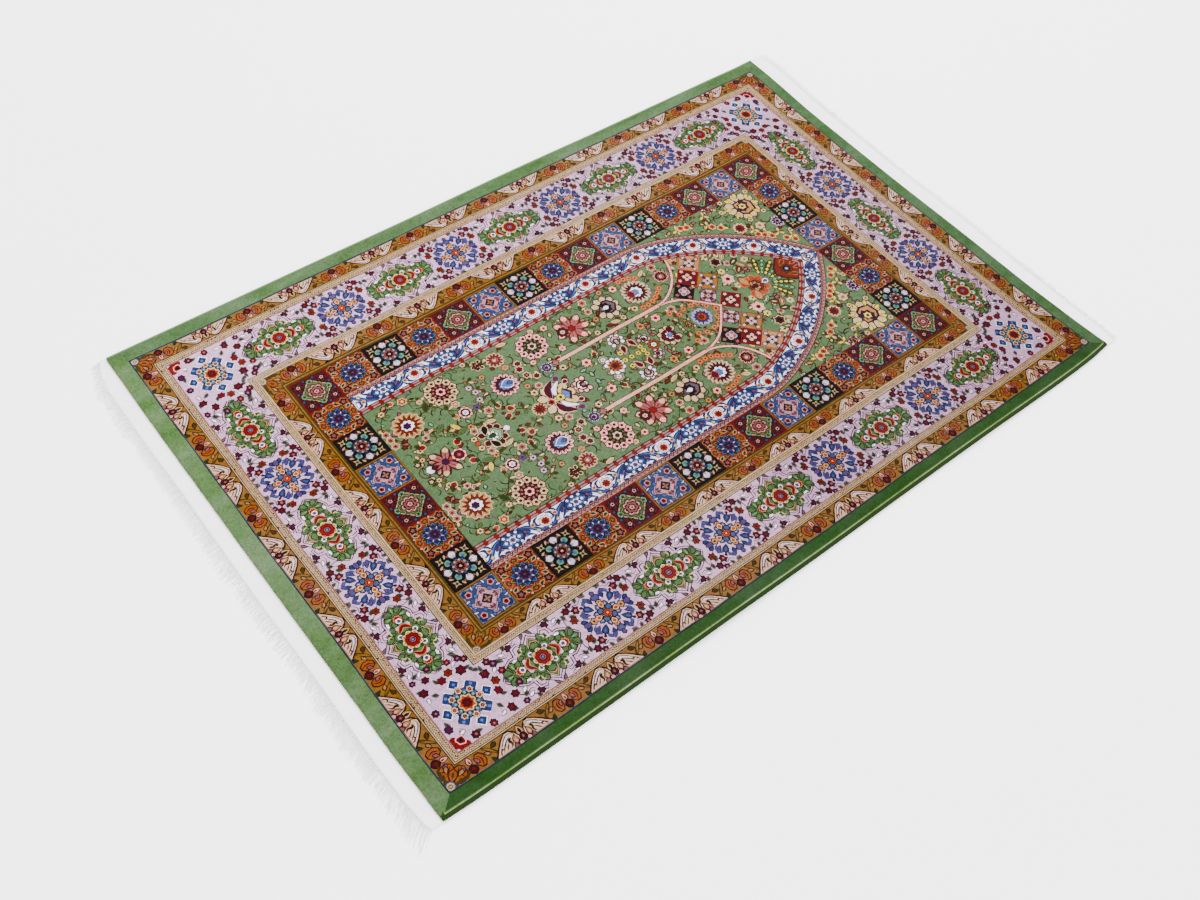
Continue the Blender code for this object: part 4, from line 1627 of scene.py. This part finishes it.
def cut_pile_group():
    """Silky cut pile: knots, brushed patches and a slow shift of the nap, over a yarn colour."""
    nodes, given, out = new_group(
        "Cut pile",
        (("Yarn", "NodeSocketColor", (0.5, 0.5, 0.5, 1.0)),
         ("Knot size", "NodeSocketFloat", 0.0014), ("Patch depth", "NodeSocketFloat", 0.3)),
    )
    where = nodes.add("ShaderNodeTexCoord").outputs["Object"]
    knots = nodes.add("ShaderNodeTexVoronoi", {"feature": "F1"}, Vector=where,
                      Scale=nodes.math("DIVIDE", 1.0, given["Knot size"]), Randomness=0.9)
    brushed = nodes.add("ShaderNodeMapping", None, Vector=where, Scale=(1.0, 0.45, 1.0),
                        Rotation=(0.0, 0.0, 0.5))
    patches = nodes.noise(brushed.outputs[0], 26.0, 3.0, 0.55, 0.6)
    streaks = nodes.noise(brushed.outputs[0], 150.0, 2.0, 0.6, 0.3)
    slow = nodes.noise(where, 3.2, 1.0)
    fine = nodes.noise(where, 900.0, 1.0)
    shade = nodes.swing(patches, 0.5, given["Patch depth"])
    streak = nodes.swing(streaks, 0.5, 0.22)
    drift = nodes.swing(slow, 0.5, 0.30)
    speck = nodes.swing(knots.outputs["Distance"], 0.45, -0.32)
    grain = nodes.swing(fine, 0.5, 0.28)
    tones = nodes.add("ShaderNodeSeparateColor", None, Color=knots.outputs["Color"]).outputs[0]
    tufts = nodes.add("ShaderNodeTexVoronoi", {"feature": "F1"}, Vector=where, Scale=310.0)
    clumps = nodes.add("ShaderNodeSeparateColor", None, Color=tufts.outputs["Color"]).outputs[0]
    uneven = nodes.math("ADD", nodes.swing(tones, 0.5, 0.30),
                        nodes.swing(clumps, 0.5, 0.26))
    streak = nodes.math("ADD", streak, uneven)
    total = nodes.math("ADD", nodes.math("ADD", shade, streak), nodes.math("ADD", drift, speck))
    value = nodes.math("ADD", nodes.math("ADD", total, grain), 1.0)
    full = nodes.math("SUBTRACT", 1.0, nodes.math("MULTIPLY", nodes.math("ADD", shade, drift), 0.9))
    tinted = nodes.add("ShaderNodeHueSaturation", None, Saturation=full, Value=value,
                       Color=given["Yarn"])
    nodes.tree.links.new(tinted.outputs["Color"], out["Colour"])
    rough = nodes.math("ADD", nodes.math("MULTIPLY", patches, 0.24), 0.50)
    nodes.tree.links.new(rough, out["Roughness"])
    height = nodes.math("ADD", nodes.math("MULTIPLY", knots.outputs["Distance"], -0.7),
                        nodes.math("MULTIPLY", streaks, 0.8))
    nodes.tree.links.new(height, out["Height"])
    return nodes.tree


def thread_group():
    """Spun threads: fine fibres and slow soiling over one colour."""
    nodes, given, out = new_group(
        "Spun thread",
        (("Yarn", "NodeSocketColor", (0.8, 0.8, 0.8, 1.0)),
         ("Fibre size", "NodeSocketFloat", 0.0006), ("Thread pitch", "NodeSocketFloat", 0.0016)),
    )
    where = nodes.add("ShaderNodeTexCoord").outputs["Object"]
    fibres = nodes.noise(where, nodes.math("DIVIDE", 1.0, given["Fibre size"]), 2.0, 0.6)
    slow = nodes.noise(where, 18.0, 3.0)
    apart = nodes.add("ShaderNodeSeparateXYZ", None, Vector=where)
    turn = nodes.math("DIVIDE", 2 * math.pi, given["Thread pitch"])
    warp = nodes.math("SINE", nodes.math("MULTIPLY", apart.outputs["X"], turn))
    weft = nodes.math("SINE", nodes.math("MULTIPLY", apart.outputs["Y"], turn))
    weave = nodes.math("MULTIPLY", warp, weft)
    value = nodes.math("ADD", nodes.swing(fibres, 0.5, 0.22),
                       nodes.swing(slow, 0.5, 0.16))
    value = nodes.math("ADD", nodes.math("ADD", value, nodes.math("MULTIPLY", weave, 0.035)), 1.0)
    tinted = nodes.add("ShaderNodeHueSaturation", None, Value=value, Color=given["Yarn"])
    nodes.tree.links.new(tinted.outputs["Color"], out["Colour"])
    rough = nodes.math("ADD", nodes.math("MULTIPLY", fibres, 0.2), 0.68)
    nodes.tree.links.new(rough, out["Roughness"])
    height = nodes.math("ADD", nodes.math("MULTIPLY", weave, 0.35),
                        nodes.math("MULTIPLY", fibres, 0.5))
    nodes.tree.links.new(height, out["Height"])
    return nodes.tree


def new_cloth_material(name, group, yarn, sheen, bump, **sizes):
    """Material whose colour, roughness and bump come from a group."""
    material = bpy.data.materials.new(name)
    material.use_nodes = True
    nodes = Nodes(material.node_tree)
    shader = material.node_tree.nodes["Principled BSDF"]
    effect = nodes.add("ShaderNodeGroup", {"node_tree": group})
    if yarn is None:
        source = nodes.add("ShaderNodeAttribute", {"attribute_name": "yarn"})
        nodes.tree.links.new(source.outputs["Color"], effect.inputs["Yarn"])
    else:
        effect.inputs["Yarn"].default_value = (*yarn, 1.0)
    for title, value in sizes.items():
        effect.inputs[title.replace("_", " ")].default_value = value
    nodes.tree.links.new(effect.outputs["Colour"], shader.inputs["Base Color"])
    nodes.tree.links.new(effect.outputs["Roughness"], shader.inputs["Roughness"])
    relief = nodes.add("ShaderNodeBump", None, Strength=bump, Distance=0.0008,
                       Height=effect.outputs["Height"])
    nodes.tree.links.new(relief.outputs["Normal"], shader.inputs["Normal"])
    shader.inputs["Specular IOR Level"].default_value = 0.02
    shader.inputs["Sheen Weight"].default_value = sheen
    shader.inputs["Sheen Roughness"].default_value = 0.45
    return material


def shared_group(name, maker):
    """The named node group, made the first time it is asked for."""
    return bpy.data.node_groups.get(name) or maker()


# ---------------------------------------------------------------- operators

# Share of its yarns' lightness that each piece of the pile keeps, matched piece by piece; the main
# border's foot and head are one design that differ only in painted shade
PILE_LIGHTNESS = {
    "pile_band": 0.74, "pile_outer_guard": 0.42, "pile_border_foot": 0.66,
    "pile_border_head": 0.54, "pile_inner_guard": 0.43, "pile_squares": 0.36,
    "pile_field_right": 0.57, "pile_field_left": 0.57,
}


class RUG_OT_pile(Operator):
    """Lay the figured pile in its eight pieces"""

    bl_idname = "rug.pile"
    bl_label = "Lay the figured pile"

    def execute(self, context):
        yarns = context.scene.rug_yarns
        make = context.scene.rug_make
        group = shared_group("Cut pile", cut_pile_group)
        silk = new_cloth_material("figured_pile", group, None, 0.0, 0.35, Patch_depth=0.16)
        band = new_cloth_material("band_pile", group, None, 0.0, 0.35, Patch_depth=1.0)
        field = field_chart().cut()
        border = main_border_chart().cut()
        pieces = {
            "pile_band": self.bands(),
            "pile_outer_guard": quarters(outer_guard_chart().cut()),
            # The main border is laid as two pieces so that its foot and head can take different
            # painted shade
            "pile_border_foot": quarters(border, ends=(-1,)),
            "pile_border_head": quarters(border, ends=(1,)),
            "pile_inner_guard": quarters(inner_guard_chart().cut()),
            "pile_squares": self.squares(),
            "pile_field_right": [place_patch(field, lambda p: p)],
            "pile_field_left": [place_patch(field, lambda p: -p.conjugate())],
        }
        for name, patches in pieces.items():
            material = band if name == "pile_band" else silk
            piece = lay_pile(name, joined(patches), rug_lie(), make, yarns, material,
                             PILE_LIGHTNESS[name])
            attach(piece, "root")
        return {"FINISHED"}

    @staticmethod
    def bands():
        """Green band's four quarters, each side and end in its own painted nap shade."""
        placed = []
        for side, side_yarn in ((1, "right"), (-1, "left")):
            for end, end_yarn in ((1, "head"), (-1, "foot")):
                placed += quarters(green_band_chart(side_yarn, end_yarn).cut(), (side,), (end,))
        return placed

    @staticmethod
    def squares():
        """Every small square in its place."""
        kinds = {
            "c": crimson_square().cut(), "o": orange_square().cut(),
            "n": navy_square().cut(), "s": slate_square().cut(),
        }
        turn = way(90)
        return [place_patch(kinds[kind], lambda p: p * turn + complex(x, y))
                for x, y, kind in square_places()]


# Squares from the foot to the head, and from the left to the right
LEFT_SQUARES = "conocsnocsnocsc"
RIGHT_SQUARES = "sonocsnocsnocsc"
END_SQUARES = "onscon"


def square_places():
    """Middle of each square with its kind."""
    half_wide = HALF_WIDTH - SQUARES_START - SQUARE_WIDTH / 2
    half_long = HALF_LENGTH - SQUARES_START - SQUARE_LENGTH / 2
    places = []
    for number, (left, right) in enumerate(zip(LEFT_SQUARES, RIGHT_SQUARES)):
        y = -half_long + number * SQUARE_LENGTH
        places.append((-half_wide, y, left))
        places.append((half_wide, y, right))
    for number, kind in enumerate(END_SQUARES):
        x = -half_wide + (number + 1) * SQUARE_WIDTH
        places.append((x, -half_long, kind))
        places.append((x, half_long, kind))
    return places


FOUNDATION_GRID = (32, 48)
# Foundation's height over the floor, and its depth below the pile's top, in millimetres
FOUNDATION_CLEAR = 0.1
PILE_DEPTH = 2.2


class RUG_OT_foundation(Operator):
    """Make the woven foundation under the pile"""

    bl_idname = "rug.foundation"
    bl_label = "Make the foundation"

    def execute(self, context):
        yarns = context.scene.rug_yarns
        make = context.scene.rug_make
        lie = rug_lie()
        columns, rows = FOUNDATION_GRID
        across, along = np.meshgrid(np.linspace(-1, 1, columns + 1), np.linspace(-1, 1, rows + 1))
        x, y = lie.place(across.ravel() * (HALF_WIDTH - CORD_INSET), along.ravel() * HALF_LENGTH)
        base = lie.lift(x, y)
        low = np.column_stack((x, y, base + FOUNDATION_CLEAR * MM))
        high = np.column_stack((x, y, base + make.pile_height - PILE_DEPTH * MM))
        points, triangles = closed_slab(low, high, columns, rows)
        group = shared_group("Spun thread", thread_group)
        green = tuple(0.5 * a + 0.5 * b for a, b in zip(yarns.band_left, yarns.cream))
        material = new_cloth_material("woven_back", group, green, 0.05, 0.5, Thread_pitch=0.0022)
        piece = new_mesh_object("foundation", points, triangles, material)
        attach(piece, "root")
        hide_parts("pile")
        return {"FINISHED"}


def closed_slab(low, high, columns, rows):
    """Closed slab between two grids of points with the same corners."""
    count = len(low)
    width = columns + 1
    triangles = []
    for row in range(rows):
        for column in range(columns):
            a = row * width + column
            b, c, d = a + 1, a + width + 1, a + width
            triangles += [(a, c, b), (a, d, c)]
            triangles += [(count + a, count + b, count + c), (count + a, count + c, count + d)]
    ring = list(range(width)) + [row * width + columns for row in range(1, rows + 1)]
    ring += [rows * width + column for column in range(columns - 1, -1, -1)]
    ring += [row * width for row in range(rows - 1, 0, -1)]
    for a, b in zip(ring, ring[1:] + ring[:1]):
        triangles += [(a, b, count + b), (a, count + b, count + a)]
    return np.concatenate((low, high)), np.array(triangles)


def ring_triangles(first, spans, corners, forward):
    """Triangles between rings whose corners are numbered one after another."""
    triangles = []
    for span in range(spans):
        for corner in range(corners):
            a = first + span * corners + corner
            b = first + span * corners + (corner + 1) % corners
            c, d = b + corners, a + corners
            triangles += ((a, b, c), (a, c, d)) if forward else ((a, c, b), (a, d, c))
    return triangles


# Side cord's half width and half height in metres, and how deep the grooves between wraps are
CORD_WIDTH = 0.0050
CORD_HEIGHT = 0.0031
WRAP_GROOVE = 0.14
WRAP_SECTIONS = 3
CORD_STEPS = 7


class RUG_OT_side_cords(Operator):
    """Make the overcast cord along each long side"""

    bl_idname = "rug.side_cords"
    bl_label = "Make the side cords"

    def execute(self, context):
        yarns = context.scene.rug_yarns
        make = context.scene.rug_make
        group = shared_group("Spun thread", thread_group)
        lie = rug_lie()
        for name, side, edge, yarn in (("side_cord_right", 1, lie.right, yarns.cord_right),
                                       ("side_cord_left", -1, lie.left, yarns.cord_left)):
            material = new_cloth_material(name + "_yarn", group, tuple(yarn), 0.02, 0.4)
            points, sections = self.wraps(lie, edge, side, make.wrap_pitch, *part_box(name))
            count = CORD_STEPS + 1
            triangles = ring_triangles(0, sections, count, side < 0)
            last = sections * count
            for step in range(1, CORD_STEPS):
                ends = ((0, step + 1, step), (last, last + step, last + step + 1))
                triangles += [end[::-1] for end in ends] if side > 0 else ends
            piece = new_mesh_object(name + "_wraps", points, np.array(triangles), material)
            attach(piece, "root")
            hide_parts(name)
        return {"FINISHED"}

    @staticmethod
    def wraps(lie, edge, side, pitch, low, high):
        """Points of a cord's rings, which swell with each wrap, and how many spans they make."""
        sections = int((high.y - low.y) / pitch) * WRAP_SECTIONS
        along = np.linspace(0.0, 1.0, sections + 1)
        y = low.y + along * (high.y - low.y)
        outer = lie.read(edge, y)
        wrap = 0.5 + 0.5 * np.cos(along * sections * 2 * math.pi / WRAP_SECTIONS)
        swell = 1.0 - WRAP_GROOVE * (1.0 - wrap)
        base = lie.lift(outer - side * 0.003, y)
        rings = []
        for step in range(CORD_STEPS + 1):
            turn = math.pi * (step / CORD_STEPS - 0.5)
            width = CORD_WIDTH * swell * math.cos(turn)
            up = CORD_HEIGHT * (1.0 + swell * math.sin(turn))
            slant = pitch * 0.5 * step / CORD_STEPS
            rings.append(np.column_stack((
                outer - side * CORD_WIDTH + side * width,
                np.clip(y + slant - pitch * 0.25, low.y, high.y), base + up)))
        return np.stack(rings, axis=1).reshape(-1, 3), sections


WEB_WHITE = (0.80, 0.79, 0.80)
STRAND_WHITE = (0.82, 0.80, 0.81)
WEB_GRID = (260, 8)
# Web's thickness, its ripple, and how much thinner its outer edge is, in millimetres
WEB_THICKNESS = 2.2
WEB_RIPPLE = 0.3
WEB_THINNING = 0.5
STRAND_STEPS = 5
STRAND_CORNERS = 3
# Furthest that a strand may reach past the CAD fringe to a side
SIDE_REACH = 0.004
# How far strands lean to the right: shares of the way from left to right, and the leans there
LEANS = {"foot": ((0.0, 0.9, 1.0), (0.001, 0.0064, 0.019)), "head": ((0.0,), (-0.0004,))}


class RUG_OT_ends(Operator):
    """Make the white woven webs and their fringes"""

    bl_idname = "rug.ends"
    bl_label = "Make the white ends"

    def execute(self, context):
        make = context.scene.rug_make
        lie = rug_lie()
        group = shared_group("Spun thread", thread_group)
        cotton = new_cloth_material("white_web", group, WEB_WHITE, 0.1, 0.5)
        strand = new_cloth_material("white_strands", group, STRAND_WHITE, 0.1, 0.3)
        for end, inner, outer, name in ((-1, lie.foot, lie.web_foot, "foot"),
                                        (1, lie.head, lie.web_head, "head")):
            web = self.web(lie, inner, outer, name, end, cotton)
            fringe = self.fringe(lie, outer, name, end, strand, make.strands)
            for piece, slot, node in ((web, "web", "web_" + name),
                                      (fringe, "fringe", "fringe_" + name)):
                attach(piece, "root")
                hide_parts(node)
        return {"FINISHED"}

    @staticmethod
    def across(lie, end, share):
        """World x at a share of the way from the left to the right along an end."""
        left, right = (lie.read(edge, end * HALF_LENGTH * MM) for edge in (lie.left, lie.right))
        return left + share * (right - left)

    def web(self, lie, inner, outer, name, end, material):
        """Cloth between a web's two edges, rippled and thinner outwards."""
        columns, rows = WEB_GRID
        share, down = np.meshgrid(np.linspace(0, 1, columns + 1), np.linspace(0, 1, rows + 1))
        share, down = share.ravel(), down.ravel()
        x = self.across(lie, end, share)
        start, stop = lie.read(inner, x), lie.read(outer, x)
        y = start + down * (stop - start)
        base = lie.lift(x, y)
        ripple = 0.25 * np.sin(x * 210.0 + 2.0 * np.sin(y * 160.0)) * np.sin(math.pi * down)
        top = base + (WEB_THICKNESS + WEB_RIPPLE * ripple - WEB_THINNING * down ** 4) * MM
        low = np.column_stack((x, y, base))
        high = np.column_stack((x, y, top))
        points, triangles = closed_slab(low, high, columns, rows)
        if end < 0:
            triangles = triangles[:, ::-1]
        return new_mesh_object("web_" + name + "_cloth", points, triangles, material)

    def tips(self, lie, name, end):
        """Stations along an end, with where the CAD's tufts end at each."""
        vertices = frame["nodes"]["fringe_" + name].data.vertices
        points = np.array([tuple(vertex.co) for vertex in vertices])
        row_x = self.across(lie, end, np.linspace(0, 1, 65))
        middles = [0.5 * (left + right) for left, right in zip(row_x, row_x[1:])]
        tips = []
        for middle in middles:
            near = points[np.abs(points[:, 0] - middle) < 0.02]
            tips.append(near[:, 1].min() if end < 0 else near[:, 1].max())
        return middles, tips

    def fringe(self, lie, outer, name, end, material, strands):
        """Loose strands, their tips where the CAD's tufts end."""
        chance = random.Random(31 + end)
        tips = self.tips(lie, name, end)
        low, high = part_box("fringe_" + name)
        points = []
        triangles = []
        for number in range(strands):
            share = (number + chance.uniform(0.1, 0.9)) / strands
            x = float(self.across(lie, end, share))
            start = float(lie.read(outer, x)) - end * 0.0006
            tip = float(np.interp(x, *tips)) - start
            tip *= chance.uniform(0.62, 1.0)
            lean = float(np.interp(share, *LEANS[name])) + chance.gauss(0.0, 0.0011)
            curl = chance.gauss(0.0, 0.0006)
            radius = chance.uniform(0.00045, 0.00075)
            rise = chance.uniform(0.0004, 0.0012)
            for step in range(STRAND_STEPS + 1):
                t = step / STRAND_STEPS
                px = x + lean * t ** 1.4 + curl * math.sin(5 * t)
                py = start + tip * t
                size = radius * (1.0 - 0.55 * t)
                base = float(lie.lift(np.array([px]), np.array([py]))[0])
                pz = base + size + rise * (1 - t) ** 0.7
                for corner in range(STRAND_CORNERS):
                    turn = 2 * math.pi * corner / STRAND_CORNERS + math.pi / 2
                    side = min(max(px + size * math.cos(turn), low.x - SIDE_REACH),
                               high.x + SIDE_REACH)
                    points.append((side, py, pz + size * math.sin(turn)))
            first = number * STRAND_CORNERS * (STRAND_STEPS + 1)
            last = first + STRAND_CORNERS * STRAND_STEPS
            triangles += ring_triangles(first, STRAND_STEPS, STRAND_CORNERS, end < 0)
            ends = ((last, last + 1, last + 2), (first, first + 2, first + 1))
            triangles += ends if end < 0 else ((a, c, b) for a, b, c in ends)
        return new_mesh_object("fringe_" + name + "_strands", np.array(points),
                               np.array(triangles), material)


# The camera's lens and distance, the point it looks at, and its angles in degrees
LENS = 37.89
DISTANCE = 1.7039
TARGET = (0.1035, -0.1423, 0.0)
AZIMUTH = 44.557
ELEVATION = 53.702
ROLL = 8.269

WORLD_STRENGTH = 3.6
FLOOR_REACH = 6.0
FLOOR_TONES = (0.90, 0.93)
Lamp = namedtuple("Lamp", "name place size power")
LAMPS = (Lamp("key", (-1.6, 1.8, 3.0), 2.4, 226.0), Lamp("fill", (2.2, -1.2, 2.8), 3.0, 94.0))


class RUG_OT_stage(Operator):
    """Set the floor, the lights and the camera"""

    bl_idname = "rug.stage"
    bl_label = "Set the stage"

    def execute(self, context):
        scene = context.scene
        mesh = bpy.data.meshes.new("floor")
        reach = FLOOR_REACH
        mesh.from_pydata([(-reach, -reach, 0), (reach, -reach, 0), (reach, reach, 0),
                          (-reach, reach, 0)], [], [(0, 1, 2, 3)])
        material = bpy.data.materials.new("pale_floor")
        material.use_nodes = True
        nodes = Nodes(material.node_tree)
        shader = material.node_tree.nodes["Principled BSDF"]
        where = nodes.add("ShaderNodeTexCoord").outputs["Object"]
        cloud = nodes.noise(where, 3.0, 2.0)
        low, high = ((shade, shade, shade, 1.0) for shade in FLOOR_TONES)
        tone = nodes.add("ShaderNodeMix", {"data_type": "RGBA"}, Factor=cloud, i6=low, i7=high)
        nodes.tree.links.new(tone.outputs[2], shader.inputs["Base Color"])
        shader.inputs["Roughness"].default_value = 0.9
        mesh.materials.append(material)
        floor = bpy.data.objects.new("floor", mesh)
        scene.collection.objects.link(floor)
        self.lights(scene)
        self.camera(scene)
        return {"FINISHED"}

    @staticmethod
    def lights(scene):
        world = bpy.data.worlds.new("studio")
        world.use_nodes = True
        background = world.node_tree.nodes["Background"]
        background.inputs["Color"].default_value = (1.0, 1.0, 1.0, 1.0)
        background.inputs["Strength"].default_value = WORLD_STRENGTH
        scene.world = world
        for lamp in LAMPS:
            light = bpy.data.lights.new(lamp.name, "AREA")
            light.shape = "DISK"
            light.size = lamp.size
            light.energy = lamp.power
            holder = bpy.data.objects.new(lamp.name, light)
            holder.location = lamp.place
            holder.rotation_euler = (-Vector(lamp.place)).to_track_quat("-Z", "Y").to_euler()
            scene.collection.objects.link(holder)

    @staticmethod
    def camera(scene):
        """Camera on a sphere about its target, rolled about its own line of sight."""
        view = bpy.data.cameras.new("camera")
        view.lens = LENS
        view.sensor_width = 36.0
        azimuth, elevation, roll = (math.radians(angle) for angle in (AZIMUTH, ELEVATION, ROLL))
        away = Vector((math.sin(azimuth) * math.cos(elevation),
                       -math.cos(azimuth) * math.cos(elevation), math.sin(elevation)))
        level = Vector((0, 0, 1)).cross(away).normalized()
        right = level * math.cos(roll) + away.cross(level) * math.sin(roll)
        holder = bpy.data.objects.new("camera", view)
        holder.location = Vector(TARGET) + DISTANCE * away
        holder.rotation_mode = "QUATERNION"
        turn = Matrix((right, away.cross(right), away)).transposed()
        holder.rotation_quaternion = turn.to_quaternion()
        scene.collection.objects.link(holder)
        scene.camera = holder


class RUG_PT_panel(Panel):
    """Sidebar panel of the rug."""

    bl_label = "Prayer rug"
    bl_idname = "RUG_PT_panel"
    bl_space_type = "VIEW_3D"
    bl_region_type = "UI"
    bl_category = "Rug"

    def draw(self, context):
        for step in STEPS:
            self.layout.operator(step.bl_idname)
        for group in (context.scene.rug_make, context.scene.rug_yarns):
            for name in group.__annotations__:
                self.layout.prop(group, name)


STEPS = (RUG_OT_foundation, RUG_OT_pile, RUG_OT_side_cords, RUG_OT_ends, RUG_OT_stage)
CLASSES = (RUG_PG_yarns, RUG_PG_make, *STEPS, RUG_PT_panel)


def register():
    for made in CLASSES:
        bpy.utils.register_class(made)
    bpy.types.Scene.rug_yarns = PointerProperty(type=RUG_PG_yarns)
    bpy.types.Scene.rug_make = PointerProperty(type=RUG_PG_make)


def unregister():
    del bpy.types.Scene.rug_make
    del bpy.types.Scene.rug_yarns
    for made in reversed(CLASSES):
        bpy.utils.unregister_class(made)


def main():
    register()
    for step in STEPS:
        group, name = step.bl_idname.split(".")
        getattr(getattr(bpy.ops, group), name)()


if __name__ == "__main__":
    main()
